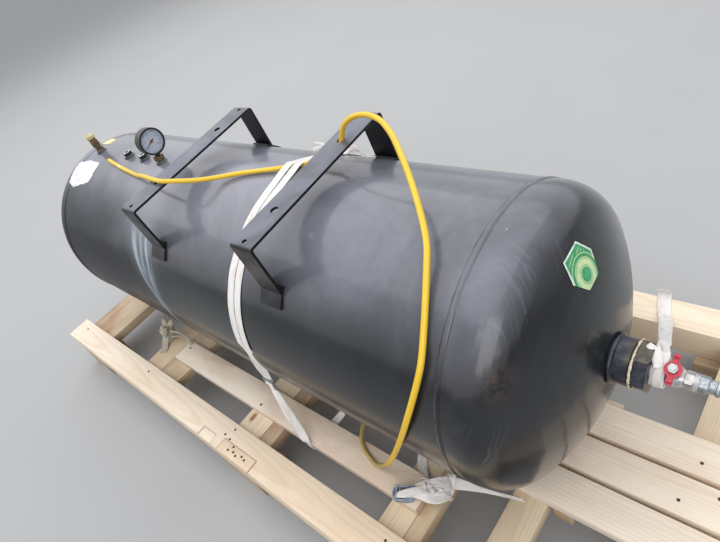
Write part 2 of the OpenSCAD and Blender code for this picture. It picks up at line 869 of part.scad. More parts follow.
// Open frame of the tensioner, with its roller and its bent ends.
module ratchet_frame() {
    color("#8f979e") translate([ratchet_x, ratchet_y, deck_z + seat_gap]) {
        for (s = [0, 1]) mirror([0, s, 0]) translate([0, 14, 0]) {
            translate([-26, 0, 0]) cube([46, 2, 9]);
            translate([-26, 1, 4.5]) rotate([-90, 0, 0])
                translate([0, 0, -1]) cylinder(r = 4.5, h = 2);
        }
        translate([-26, -15, 4.5]) rotate([-90, 0, 0])
            cylinder(r = 3, h = 30);
        translate([12, -15, 4.5]) rotate([-90, 0, 0])
            cylinder(r = 3.5, h = 30);
    }
}

module ratchet_strap() {
    z = deck_z;
    o = strap_half + seat_gap;
    x = ratchet_x;
    y = ratchet_y;
    p = [[x - 20, y, z + 9.4 + o], [x + 14, y + 2, z + 9.4 + o],
        [x + loose_run * 0.22, y + loose_side * 0.2, z + 8],
        [x + loose_run * 0.4, y + loose_side * 0.42, z + 4],
        [x + loose_run * 0.65, y + loose_side * 0.74, z + 3],
        [x + loose_run, y + loose_side, z - 5]];
    w = [[0, 10, 0], [0, 10, 0], [5, 9, 0], [5, 8, 0], [3, 8, 0],
        [1, 5, 0]];
    color("#efeae0") band(p, w, [for (q = p) [0, 0, strap_half]]);
}

// Skid.

module board(x0, x1, y0, y1, z0, z1) {
    translate([x0, y0, z0]) cube([x1 - x0, y1 - y0, z1 - z0]);
}

module side_timber(s) {
    color("#dcb983") mirror([0, s < 0 ? 1 : 0, 0])
        board(-skid_len / 2, skid_len / 2, inner_y, skid_w / 2,
            block_h, deck_z);
}

module side_timber_front() { side_timber(-1); }

module side_timber_back() { side_timber(1); }

module edge_board(s) {
    color("#e2c391") mirror([0, s < 0 ? 1 : 0, 0])
        board(edge_board_x0, edge_board_x1,
            edge_board_y - edge_board_w / 2, edge_board_y + edge_board_w / 2,
            board_under, deck_z);
}

module edge_board_front() { edge_board(-1); }

module edge_board_back() { edge_board(1); }

module deck_boards() {
    color("#e6c999") for (i = [-1 : 1])
        board(-skid_len / 2, skid_len / 2,
            board_shift + i * board_pitch - board_w / 2,
            board_shift + i * board_pitch + board_w / 2,
            board_under, deck_z);
}

bearer_top = bearer_z + bearer_t;
short_y0 = board_shift - board_pitch - board_w / 2;
short_y1 = board_shift + board_pitch + board_w / 2 + 23;

module bearer(x, w, y0, y1) {
    board(x - w / 2, x + w / 2, y0, y1, bearer_z, bearer_top);
}

module cross_bearers() {
    color("#cfa670") {
        bearer(margin_left + (bearer_a_w - skid_len) / 2, bearer_a_w, -inner_y, inner_y);
        bearer(bearer_b_x, bearer_b_w, -inner_y, inner_y);
        bearer(bearer_c_x, bearer_c_w, -inner_y, inner_y);
        bearer(bearer_d_x, bearer_d_w, -inner_y, inner_y);
        bearer(bearer_e_x, bearer_e_w, -inner_y, short_y1);
        bearer(bearer_f_x, bearer_f_w, short_y0, short_y1);
        bearer((skid_len - bearer_g_w) / 2 - margin_right, bearer_g_w, -inner_y, inner_y);
    }
}

module block_row(y0, y1, h) {
    x1 = skid_len / 2 - margin_right;
    color("#c69c66") {
        board(-x1, block_len - x1, y0, y1, 0, h);
        board(-block_len / 2, block_len / 2, y0, y1, 0, h);
        board(x1 - block_len, x1, y0, y1, 0, h);
    }
}

module blocks_front() {
    block_row(-skid_w / 2, block_w - skid_w / 2, block_h);
}

module blocks_middle() { block_row(-block_w / 2, block_w / 2, bearer_z); }

module blocks_back() {
    block_row(skid_w / 2 - block_w, skid_w / 2, block_h);
}

// Hose.

hose_route = [[-533, -35, 649], [-450, -47, 645], [-362, -58, 644],
    [-290, -74, 658], [-215, -91, 678], [-125, -98, 682],
    [-90, -85, 677], [-50, -56, 664], [-18, -25, 654], [30, 0, 652],
    [110, 28, 652], [140, 42, 652], [172, 56, 652], [200, 68, 655],
    [224, 77, 661], [240, 83, 672], [250, 87, 685], [258, 89, 701],
    [270, 90, 717], [288, 91, 729], [310, 92, 736], [335, 90, 738],
    [364, 82, 735], [392, 66, 728], [418, 46, 718], [468, 0, 689],
    [522, -60, 657], [544, -101, 632], [567, -176, 566],
    [566, -206, 528], [547, -236, 464], [520, -243, 404],
    [481, -240, 330], [440, -236, 258], [403, -231, 200],
    [378, -229, 168], [350, -228, 152], [294, -202, 149],
    [260, -138, 149], [250, -104, 149]];

function unit(v) = v / norm(v);
function spline(a, b, c, d, t) = 0.5 * ((2 * b) + (c - a) * t
    + (2 * a - 5 * b + 4 * c - d) * t * t
    + (3 * b - a - 3 * c + d) * t * t * t);

hose_n = len(hose_route);
hose_path = concat([for (i = [0 : hose_n - 2]) for (t = [0, 0.5])
    spline(hose_route[max(i - 1, 0)], hose_route[i], hose_route[i + 1],
        hose_route[min(i + 2, hose_n - 1)], t)], [hose_route[hose_n - 1]]);

// A tube of k sides swept along the path.
module tube(path, d, k) {
    n = len(path);
    dirs = [for (i = [0 : n - 1])
        unit(path[min(i + 1, n - 1)] - path[max(i - 1, 0)])];
    side = [for (v = dirs) unit(cross(v, [0.3, 1, 0.1]))];
    pts = [for (i = [0 : n - 1]) let (u = side[i], w = cross(dirs[i], u))
        for (j = [0 : k - 1]) let (a = 360 * j / k)
            path[i] + d / 2 * (cos(a) * u + sin(a) * w)];
    skin = [for (i = [0 : n - 2]) for (j = [0 : k - 1])
        let (a = i * k + j, b = i * k + (j + 1) % k)
            each [[a, b + k, b], [a, a + k, b + k]]];
    polyhedron(pts, concat([[for (j = [0 : k - 1]) j]], skin,
        [[for (j = [k - 1 : -1 : 0]) (n - 1) * k + j]]));
}

module yellow_hose() {
    color("#e0b120") tube(hose_path, hose_d, 8);
}

// Assembly.
tank_shell();
left_head();
right_head();
girth_welds();
bracket_left();
bracket_right();
bracket_pads();
crown_bosses();
relief_valve_foot();
relief_valve_body();
relief_valve_cap();
crown_plugs();
gauge_adapter();
gauge_case();
gauge_dial();
gauge_pointer();
gauge_glass();
outlet_socket();
outlet_reducer();
valve_body();
valve_end();
valve_collar();
hose_coupling();
valve_spindle();
valve_handle();
handle_nut();
strap_pair();
strap_buckle();
strap_tail();
strap_knot();
valve_strap();
ratchet_frame();
ratchet_strap();
side_timber_front();
side_timber_back();
edge_board_front();
edge_board_back();
deck_boards();
cross_bearers();
blocks_front();
blocks_middle();
blocks_back();
yellow_hose();
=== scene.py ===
import math
import random

import bmesh
import bpy
from mathutils import Matrix, Vector, noise


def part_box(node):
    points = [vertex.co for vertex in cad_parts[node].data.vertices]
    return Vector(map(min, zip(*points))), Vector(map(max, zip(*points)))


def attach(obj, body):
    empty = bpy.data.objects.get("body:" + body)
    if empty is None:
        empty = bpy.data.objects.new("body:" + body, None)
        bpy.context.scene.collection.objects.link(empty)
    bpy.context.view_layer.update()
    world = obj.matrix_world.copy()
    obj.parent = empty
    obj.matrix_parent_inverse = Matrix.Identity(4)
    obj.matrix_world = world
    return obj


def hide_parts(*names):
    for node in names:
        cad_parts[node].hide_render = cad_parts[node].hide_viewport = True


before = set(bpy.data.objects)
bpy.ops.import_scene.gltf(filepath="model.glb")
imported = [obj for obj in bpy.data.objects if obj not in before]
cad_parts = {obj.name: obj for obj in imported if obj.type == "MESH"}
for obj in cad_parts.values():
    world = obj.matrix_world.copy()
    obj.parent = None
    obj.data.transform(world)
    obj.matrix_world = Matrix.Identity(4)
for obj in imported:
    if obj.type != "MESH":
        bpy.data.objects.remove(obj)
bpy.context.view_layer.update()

# Horizontal pressure tank on its skid, in metres, in the frame of the part:
# X along the tank to its outlet, Y away from the viewer, Z up. Routes and
# knots of cord and webbing are listed in millimetres.

MM = 1000  # millimetres in a metre

shell_low, shell_high = (Vector(c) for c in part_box("tank_shell"))
LEFT_SEAM, RIGHT_SEAM = shell_low.x, shell_high.x
TANK_R = (shell_high.z - shell_low.z) / 2
TANK_Y = (shell_low.y + shell_high.y) / 2
AXIS_Z = (shell_low.z + shell_high.z) / 2
DECK_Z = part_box("deck_boards")[1][2]
OUTLET_Z = AXIS_Z + 0.008
SOCKET_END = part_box("outlet_socket")[1][0]
HEAD_CROWN_R = 0.400
HEAD_FLANGE = 0.014
KNUCKLE_R = 0.077
HEAD_DEPTH = HEAD_FLANGE + HEAD_CROWN_R - math.sqrt(
    (HEAD_CROWN_R - KNUCKLE_R) ** 2 - (TANK_R - KNUCKLE_R) ** 2)
HEAD_CENTRE_X = RIGHT_SEAM + HEAD_DEPTH - HEAD_CROWN_R


def centre_of(node):
    low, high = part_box(node)
    return (Vector(low) + Vector(high)) / 2


DIAL_AT = centre_of("gauge_dial")
DIAL_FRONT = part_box("gauge_dial")[1][0]


# Camera.

LENS, SENSOR = 26.52, 36
CAMERA_AT = (0.9292, -0.4670, 1.0887)
CAMERA_AXES = ((0.73147, 0.59687, -0.32969), (-0.21999, 0.66423, 0.71442),
               (0.64541, -0.45005, 0.61717))


def place_camera():
    data = bpy.data.cameras.new("camera")
    data.sensor_fit = "HORIZONTAL"
    data.sensor_width = SENSOR
    data.lens = LENS
    camera = bpy.data.objects.new("camera", data)
    camera.matrix_world = Matrix(
        [(*row, at) for row, at in zip(zip(*CAMERA_AXES), CAMERA_AT)]
        + [(0, 0, 0, 1)])
    bpy.context.scene.collection.objects.link(camera)
    bpy.context.scene.camera = camera


place_camera()


# Working by hand: selection, edit mode and finished pieces.

def deselect():
    if bpy.context.object and bpy.context.object.mode != "OBJECT":
        bpy.ops.object.mode_set(mode="OBJECT")
    bpy.ops.object.select_all(action="DESELECT")


def pick(*objects):
    deselect()
    for o in objects:
        o.select_set(True)
    bpy.context.view_layer.objects.active = objects[0]


def settle(name, o=None):
    """Names the piece and moves its place into its mesh."""
    o = o or bpy.context.object
    o.name = o.data.name = name
    pick(o)
    bpy.ops.object.transform_apply(location=True, rotation=True, scale=True)
    return o


def block(name, low, high):
    """A block between two corners."""
    low, high = Vector(low), Vector(high)
    deselect()
    bpy.ops.mesh.primitive_cube_add(size=1, location=(low + high) / 2,
                                    scale=high - low)
    return settle(name)


def rod(name, r, length, at, sides, tilt=0):
    """A round rod, upright or tilted about X by some degrees."""
    deselect()
    bpy.ops.mesh.primitive_cylinder_add(
        vertices=sides, radius=r, depth=length, location=at,
        rotation=(math.radians(tilt), 0, 0))
    return settle(name)


def edit(o, kind="FACE", action="DESELECT"):
    pick(o)
    bpy.ops.object.mode_set(mode="EDIT")
    bpy.ops.mesh.select_mode(type=kind)
    bpy.ops.mesh.select_all(action=action)


def choose(o, test, kind="faces"):
    """Selects the faces, edges or vertices that pass a test."""
    mesh = bmesh.from_edit_mesh(o.data)
    for part in getattr(mesh, kind):
        part.select_set(test(part))
    bmesh.update_edit_mesh(o.data)


def leave():
    bpy.ops.object.mode_set(mode="OBJECT")


def apply_all(o):
    pick(o)
    for modifier in list(o.modifiers):
        bpy.ops.object.modifier_apply(modifier=modifier.name)


def join(name, pieces):
    pick(*pieces)
    if len(pieces) > 1:
        bpy.ops.object.join()
    o = bpy.context.object
    o.name = o.data.name = name
    return o


def smooth(o, angle=35):
    pick(o)
    bpy.ops.object.shade_smooth_by_angle(angle=math.radians(angle))


def dress(o, finish, replaces=()):
    """Gives a finished piece its material and its body."""
    o.data.materials.clear()
    o.data.materials.append(finish)
    if replaces:
        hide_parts(*replaces)
    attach(o, "base")


def from_bmesh(name, mesh):
    data = bpy.data.meshes.new(name)
    mesh.to_mesh(data)
    mesh.free()
    o = bpy.data.objects.new(name, data)
    bpy.context.scene.collection.objects.link(o)
    return o


def add_face(mesh, uv, corners, spots):
    face = mesh.faces.new(corners)
    face.smooth = True
    for loop, spot in zip(face.loops, spots):
        loop[uv].uv = spot


def spline(points, steps):
    """A smooth line through the points, with so many steps in each span."""
    points = [Vector(p) for p in points]
    last = len(points) - 1
    line = []
    for i in range(last):
        a, b = points[max(i - 1, 0)], points[i]
        c, d = points[i + 1], points[min(i + 2, last)]
        for k in range(steps):
            t = k / steps
            line.append(0.5 * (2 * b + (c - a) * t
                               + (2 * a - 5 * b + 4 * c - d) * t * t
                               + (3 * b - a - 3 * c + d) * t ** 3))
    return line + [points[last]]


def ahead_at(line, i):
    """The way a line runs at one of its points."""
    return (line[min(i + 1, len(line) - 1)]
            - line[max(i - 1, 0)]).normalized()


def round_tank(x, degrees, r):
    """A place round the tank; the angle runs from its top to the viewer."""
    a = math.radians(degrees)
    return Vector((x, TANK_Y - r * math.sin(a), AXIS_Z + r * math.cos(a)))


# Hose.

HOSE_D = 0.0096
HOSE_BORE_R = 0.0031
HOSE_ROUTE = [
    (-533, -35, 649), (-450, -47, 645), (-362, -58, 644), (-290, -74, 658),
    (-215, -91, 678), (-125, -98, 682), (-90, -85, 677), (-50, -56, 664),
    (-18, -25, 654), (30, 0, 652), (110, 28, 652), (140, 42, 652),
    (172, 56, 652), (200, 68, 655), (224, 77, 661), (240, 83, 672),
    (250, 87, 685), (258, 89, 701), (270, 90, 717), (288, 91, 729),
    (310, 92, 736), (335, 90, 738), (364, 82, 735), (392, 66, 728),
    (418, 46, 718), (468, 0, 689), (522, -60, 657), (544, -101, 632),
    (567, -176, 566), (566, -206, 528), (547, -236, 464), (520, -243, 404),
    (481, -240, 330), (440, -236, 258), (403, -231, 200), (378, -229, 168),
    (350, -228, 152), (294, -202, 149), (260, -138, 149), (250, -104, 149)]


def tube(name, line, r, bore, sides=14):
    """A tube along a line, with a bored recess at both ends."""
    mesh = bmesh.new()
    uv = mesh.loops.layers.uv.new("UVMap")
    rings, marks, run = [], [], 0.0
    normal = Vector((0.2, 0.3, 1)).normalized()
    for i, p in enumerate(line):
        ahead = ahead_at(line, i)
        normal = (normal - ahead * normal.dot(ahead)).normalized()
        other = ahead.cross(normal)
        if i:
            run += (p - line[i - 1]).length
        turns = [math.tau * k / sides for k in range(sides)]
        rings.append([mesh.verts.new(
            p + r * (math.cos(t) * normal + math.sin(t) * other))
            for t in turns])
        marks.append(run)

    def skin(a, b, va, vb):
        for k in range(sides):
            m = (k + 1) % sides
            u0, u1 = k / sides * math.tau * r, (k + 1) / sides * math.tau * r
            add_face(mesh, uv, (a[k], a[m], b[m], b[k]),
                     ((u0, va), (u1, va), (u1, vb), (u0, vb)))

    for i in range(len(rings) - 1):
        skin(rings[i], rings[i + 1], marks[i], marks[i + 1])
    for end, sign in ((0, 1), (len(rings) - 1, -1)):
        p, mark = line[end], marks[end]
        inward = (line[end + sign] - p).normalized()
        lip = [mesh.verts.new(p + (v.co - p) * (bore / r))
               for v in rings[end]]
        well = [mesh.verts.new(v.co + inward * 3 * r) for v in lip]
        for a, b in ((lip, rings[end]), (well, lip)):
            skin(*((a, b) if sign > 0 else (b, a)), mark, mark)
        face = mesh.faces.new(well if sign < 0 else well[::-1])
        for loop in face.loops:
            loop[uv].uv = (0, mark)
    return from_bmesh(name, mesh)


hose_line = spline([Vector(p) / 1000 for p in HOSE_ROUTE], 6)
hose = tube("hose", hose_line, HOSE_D / 2, HOSE_BORE_R)


# Materials: a short way to lay out nodes.

class Wire:
    """A node's output, which can be reckoned with as a number can."""

    def __init__(self, g, socket):
        self.g, self.socket = g, socket

    def reckon(self, operation, other):
        way = self.g.vector if isinstance(other, tuple) else self.g.math
        return way(operation, self, other)

    def __add__(self, other):
        return self.reckon("ADD", other)

    def __sub__(self, other):
        return self.reckon("SUBTRACT", other)

    def __rsub__(self, other):
        return self.g.math("SUBTRACT", other, self)

    def __mul__(self, other):
        return self.reckon("MULTIPLY", other)

    def __truediv__(self, other):
        return self.reckon("DIVIDE", other)

    def __abs__(self):
        return self.g.math("ABSOLUTE", self)


class Nodes:
    def __init__(self, tree):
        self.tree = tree

    def add(self, kind, inputs, **settings):
        node = self.tree.nodes.new(kind)
        for key, value in settings.items():
            setattr(node, key, value)
        for key, value in inputs.items():
            self.feed(node.inputs[key], value)
        return node

    def feed(self, socket, value):
        if isinstance(value, Wire):
            self.tree.links.new(value.socket, socket)
        else:
            socket.default_value = value

    def wire(self, kind, inputs, output=0, **settings):
        node = self.add("ShaderNode" + kind, inputs, **settings)
        return Wire(self, node.outputs[output])

    def math(self, operation, a, b=0, clamp=False):
        return self.wire("Math", {0: a, 1: b}, operation=operation,
                         use_clamp=clamp)

    def larger(self, a, b):
        return self.math("MAXIMUM", a, b)

    def reach(self, a, b):
        return self.math("SQRT", a * a + b * b)

    def vector(self, operation, a, b=(0, 0, 0)):
        number = operation in ("DISTANCE", "LENGTH", "DOT_PRODUCT")
        return self.wire("VectorMath", {0: a, 1: b}, int(number),
                         operation=operation)

    def mix(self, factor, a, b, blend="MIX"):
        return self.wire("Mix", {0: factor, 6: a, 7: b}, 2,
                         data_type="RGBA", blend_type=blend)

    def fade(self, value, low, high, start=0, end=1):
        return self.wire("MapRange", {
            "Value": value, "From Min": low, "From Max": high,
            "To Min": start, "To Max": end},
            interpolation_type="SMOOTHSTEP")

    def noise(self, vector, scale=1, detail=2, rough=0.5, swirl=0):
        return self.wire("TexNoise", {
            "Vector": vector, "Scale": scale, "Detail": detail,
            "Roughness": rough, "Distortion": swirl})

    def cells(self, vector, scale, spread):
        """Distance to the nearest scattered point, and its own numbers."""
        node = self.add("ShaderNodeTexVoronoi", {
            "Vector": vector, "Scale": scale, "Randomness": spread},
            feature="F1")
        return (Wire(self, node.outputs["Distance"]),
                self.split(Wire(self, node.outputs["Color"])))

    def ramp(self, value, stops):
        node = self.add("ShaderNodeValToRGB", {0: value})
        elements = node.color_ramp.elements
        while len(elements) < len(stops):
            elements.new(0.5)
        for element, (spot, level) in zip(elements, stops):
            element.position = spot
            element.color = (level, level, level, 1)
        return Wire(self, node.outputs[0])

    def split(self, vector):
        node = self.add("ShaderNodeSeparateXYZ", {0: vector})
        return [Wire(self, socket) for socket in node.outputs]

    def pack(self, x, y, z=0):
        return self.wire("CombineXYZ", {0: x, 1: y, 2: z})

    def use(self, group, **inputs):
        node = self.add("ShaderNodeGroup", {}, node_tree=group)
        for key, value in inputs.items():
            self.feed(node.inputs[key], value)
        return [Wire(self, socket) for socket in node.outputs]

    def place(self):
        return self.wire("TexCoord", {}, "Object")

    def facing(self):
        return self.wire("NewGeometry", {}, "Normal")

    def own_uv(self):
        return self.wire("UVMap", {}, uv_map="UVMap")

    def stored(self, name):
        return self.wire("Attribute", {}, "Vector", attribute_name=name)

    def relief(self, height, strength, distance, **normal):
        return self.wire("Bump", {"Height": height, "Strength": strength,
                                  "Distance": distance, **normal})

    def scored(self, at, start, end, width):
        """A mask along a short straight line between two places."""
        run = Vector(end) - Vector(start)
        off = at - tuple(start)
        along = self.math("DIVIDE", self.vector("DOT_PRODUCT", off,
                                                tuple(run)),
                          run.length_squared, clamp=True)
        nearest = self.wire("VectorMath", {0: tuple(run), "Scale": along},
                            operation="SCALE")
        gap = self.vector("DISTANCE", off, nearest)
        return self.fade(gap, width, width * 0.4)

    def result(self, *values):
        """Ends a shared effect."""
        end = self.tree.nodes.new("NodeGroupOutput")
        for socket, value in zip(end.inputs, values):
            self.feed(socket, value)
        return self.tree


def paint(*rgb):
    """A colour written as a paint chip reads, 0 to 255."""
    return tuple(((v / 255 + 0.055) / 1.055) ** 2.4 if v > 10
                 else v / 255 / 12.92 for v in rgb) + (1,)


def effect(name, inputs, outputs):
    """Starts a shared effect: a node group with named inputs and outputs."""
    tree = bpy.data.node_groups.new(name, "ShaderNodeTree")
    for way, sockets in (("INPUT", inputs), ("OUTPUT", outputs)):
        for title, kind in sockets.items():
            tree.interface.new_socket(title, in_out=way,
                                      socket_type="NodeSocket" + kind)
    g = Nodes(tree)
    given = tree.nodes.new("NodeGroupInput").outputs
    return g, [Wire(g, given[title]) for title in inputs]


def finish(name):
    """Starts a material."""
    material = bpy.data.materials.new(name)
    material.use_nodes = True
    material.node_tree.nodes.clear()
    return Nodes(material.node_tree), material


def shade(g, material, **values):
    """Ends a material with its Principled shader; _ stands for a space."""
    shader = g.wire("BsdfPrincipled", {
        key.replace("_", " "): value for key, value in values.items()})
    g.add("ShaderNodeOutputMaterial", {"Surface": shader})
    return material


# Shared effects.

def make_unroll():
    """Place on the tank as length, arc towards the viewer, and radius."""
    g, (at,) = effect("unrolled", {"Vector": "Vector"},
                      {"Vector": "Vector", "Angle": "Float"})
    x, y, z = g.split(at)
    y, z = TANK_Y - y, z - AXIS_Z
    angle = g.math("ARCTAN2", y, z)
    return g.result(g.pack(x, angle * TANK_R, g.reach(y, z)),
                    g.math("DEGREES", angle))


def make_tank_form():
    """The true direction of the tank's surface: wall, knuckle and crown."""
    g, (at,) = effect("tank_form", {"Vector": "Vector"},
                      {"Normal": "Vector"})
    x, y, z = g.split(at)
    y, z = y - TANK_Y, z - AXIS_Z
    r = g.reach(y, z)
    beyond = g.larger(x - RIGHT_SEAM, LEFT_SEAM - x)
    knuckle = TANK_R - KNUCKLE_R
    crown = HEAD_DEPTH - HEAD_CROWN_R
    run = beyond - crown
    in_crown = (g.math("LESS_THAN", r / run,
                       knuckle / (HEAD_FLANGE - crown))
                * g.math("GREATER_THAN", beyond, HEAD_FLANGE))
    bent = g.larger(beyond - HEAD_FLANGE, 0)
    along = in_crown * run + (1 - in_crown) * bent
    spread = (r - (1 - in_crown) * knuckle) / g.larger(r, 0.0001)
    form = g.pack(along * g.math("SIGN", x), y * spread, z * spread)
    return g.result(g.wire(
        "VectorTransform", {0: g.vector("NORMALIZE", form)},
        vector_type="NORMAL", convert_from="OBJECT", convert_to="WORLD"))


def make_dust():
    """Dust that settles on what faces up, in drawn-out clouds."""
    g, (at, scale, lowest, highest, normal) = effect(
        "settled_dust", {"Vector": "Vector", "Scale": "Float",
                         "Lowest": "Float", "Highest": "Float",
                         "Normal": "Vector"}, {"Mask": "Float"})
    up = g.split(normal)[2]
    cloud = g.noise(at, scale, 4, 0.55, 1.1)
    fine = g.noise(at, scale * 24, 3, 0.7)
    lie = g.fade(up + (cloud - 0.5) * 0.5, lowest, highest)
    both = g.fade(cloud, 0.25, 0.7, 0.45, 1) + (fine - 0.5) * 0.3
    return g.result(g.math("MULTIPLY", lie, both, clamp=True))


def make_scratches():
    """Fine rubbed lines along the vector's second axis, in patches."""
    g, (at, fine, cover) = effect(
        "rubbed_lines", {"Vector": "Vector", "Fine": "Float",
                         "Cover": "Float"}, {"Mask": "Float"})
    x, y, z = g.split(at)
    x = x + g.noise(at, 5, 1) * 0.02
    lines = g.noise(g.pack(x * fine, y * 5, z), 1, 3, 0.7)
    edge = 1 - cover
    patch = g.fade(g.noise(at, 5.5, 3, 0.6), edge, edge + 0.16)
    return g.result(g.fade(lines, 0.56, 0.74) * patch)


def make_wear():
    """Uneven rub and stain on metal, for its colour and its gloss."""
    g, (at, scale) = effect(
        "handled_metal", {"Vector": "Vector", "Scale": "Float"},
        {"Stain": "Float", "Rub": "Float", "Height": "Float"})
    stain = g.noise(at, scale, 4, 0.65)
    small = g.noise(at, scale * 7, 3, 0.6)
    return g.result(g.fade(stain, 0.38, 0.68), g.fade(small, 0.5, 0.72),
                    stain + small * 0.4)


RINGS_PER_METRE = 210


def make_wood():
    """Sawn softwood: rings round a pith, knots, fibres and damp."""
    g, (grain, board, pale, warm, late_wood) = effect(
        "sawn_wood", {"Grain": "Vector", "Board": "Vector", "Pale": "Color",
                      "Warm": "Color", "Late": "Color"},
        {"Color": "Color", "Roughness": "Float", "Height": "Float"})
    x, y, z = g.split(grain)
    tone, damp, end = g.split(board)
    distance, kind = g.cells(grain * (6, 13, 13), 1, 0.9)
    size = g.fade(kind[0], 0.45, 1, 0, 0.13) * g.fade(kind[1], 0, 1, 0.55, 1)
    near = distance / g.larger(size, 0.001)
    swerve = g.fade(near, 3.4, 0.9) * 0.006
    warp = (g.noise(grain * (1.5, 8, 8)) - 0.5) * 0.03
    r = g.reach(y, z) + x * 0.014 + (warp + swerve)
    late = g.ramp(g.math("FRACT", r * RINGS_PER_METRE),
                  ((0, 0), (0.5, 0.06), (0.86, 1), (1, 0)))
    fibre = g.noise(grain * (16, 620, 620), 1, 2, 0.6)
    broad = g.noise(grain * (1.1, 7, 7), 1, 3, 0.55)
    patchy = g.noise(grain * (4, 9, 9), 1, 4, 0.6)
    tint = g.mix(g.fade(broad, 0.32, 0.7), pale, warm)
    tint = g.mix(late * 0.32, tint, late_wood)
    tint = g.mix(g.fade(fibre, 0.45, 0.75) * 0.22, tint, late_wood)
    tint = g.mix(damp * g.fade(patchy, 0.34, 0.66), tint,
                 g.mix(1, tint, paint(178, 128, 84), "MULTIPLY"))
    heart = g.mix(g.fade(near, 0.15, 0.8), paint(120, 74, 42),
                  paint(92, 56, 32))
    tint = g.mix(g.fade(near, 1.12, 0.82) * 0.82, tint, heart)
    tint = g.mix(g.fade(near, 1.9, 1) * 0.25, tint, paint(150, 104, 62))
    tint = g.mix(end * 0.55, tint,
                 g.mix(1, tint, paint(196, 158, 118), "MULTIPLY"))
    return g.result(g.wire("HueSaturation", {"Value": tone, "Color": tint}),
                    fibre * 0.25 + 0.62, late * 0.35 + fibre * 0.6)


WARP_PITCH, WEFT_PITCH = 0.0022, 0.0016


def make_weave():
    """Webbing on a strap's own UV: crossing yarns and soiling."""
    g, (uv, soil) = effect(
        "webbing_weave", {"UV": "Vector", "Soil": "Float"},
        {"Soiled": "Float", "Yarn": "Float", "Height": "Float"})
    u, v, _ = g.split(uv)
    across = g.math("SINE", u * (math.tau / WARP_PITCH))
    along = g.math("SINE", (v + across * 0.0002) * (math.tau / WEFT_PITCH))
    yarn = across * along
    patch = g.noise(g.pack(u * 60, v * 14), 1, 4, 0.65)
    fine = g.noise(uv * (900, 240, 1))
    edge = (1 - soil) * 0.6
    soiled = g.fade(patch + (fine - 0.5) * 0.12, edge, edge + 0.34)
    return g.result(soiled, g.fade(yarn, -1, 0.3), yarn * 0.5 + fine)


unroll = make_unroll()
tank_form = make_tank_form()
dust = make_dust()
rubbed = make_scratches()
wear = make_wear()
wood = make_wood()
weave = make_weave()


# Finishes.

WELD_HALF = 0.0052
RUST_AT = (0.661, -0.170, 0.535)
# Start, end, width, depth and colour of single scores on the right head.
SCORES = (
    ((0.648, -0.123, 0.600), (0.660, -0.128, 0.577), 0.0016, 0.8,
     (170, 172, 178)),
    ((0.612, -0.060, 0.641), (0.640, -0.078, 0.622), 0.0011, 0.4,
     (176, 178, 184)),
    ((0.690, 0.010, 0.566), (0.668, 0.052, 0.586), 0.0010, 0.35,
     (170, 172, 180)),
    ((0.673, -0.089, 0.581), (0.676, -0.089, 0.578), 0.0042, 0.8,
     (20, 20, 22)),
    ((0.651, -0.201, 0.507), (0.652, -0.202, 0.505), 0.0026, 0.8,
     (196, 198, 202)))


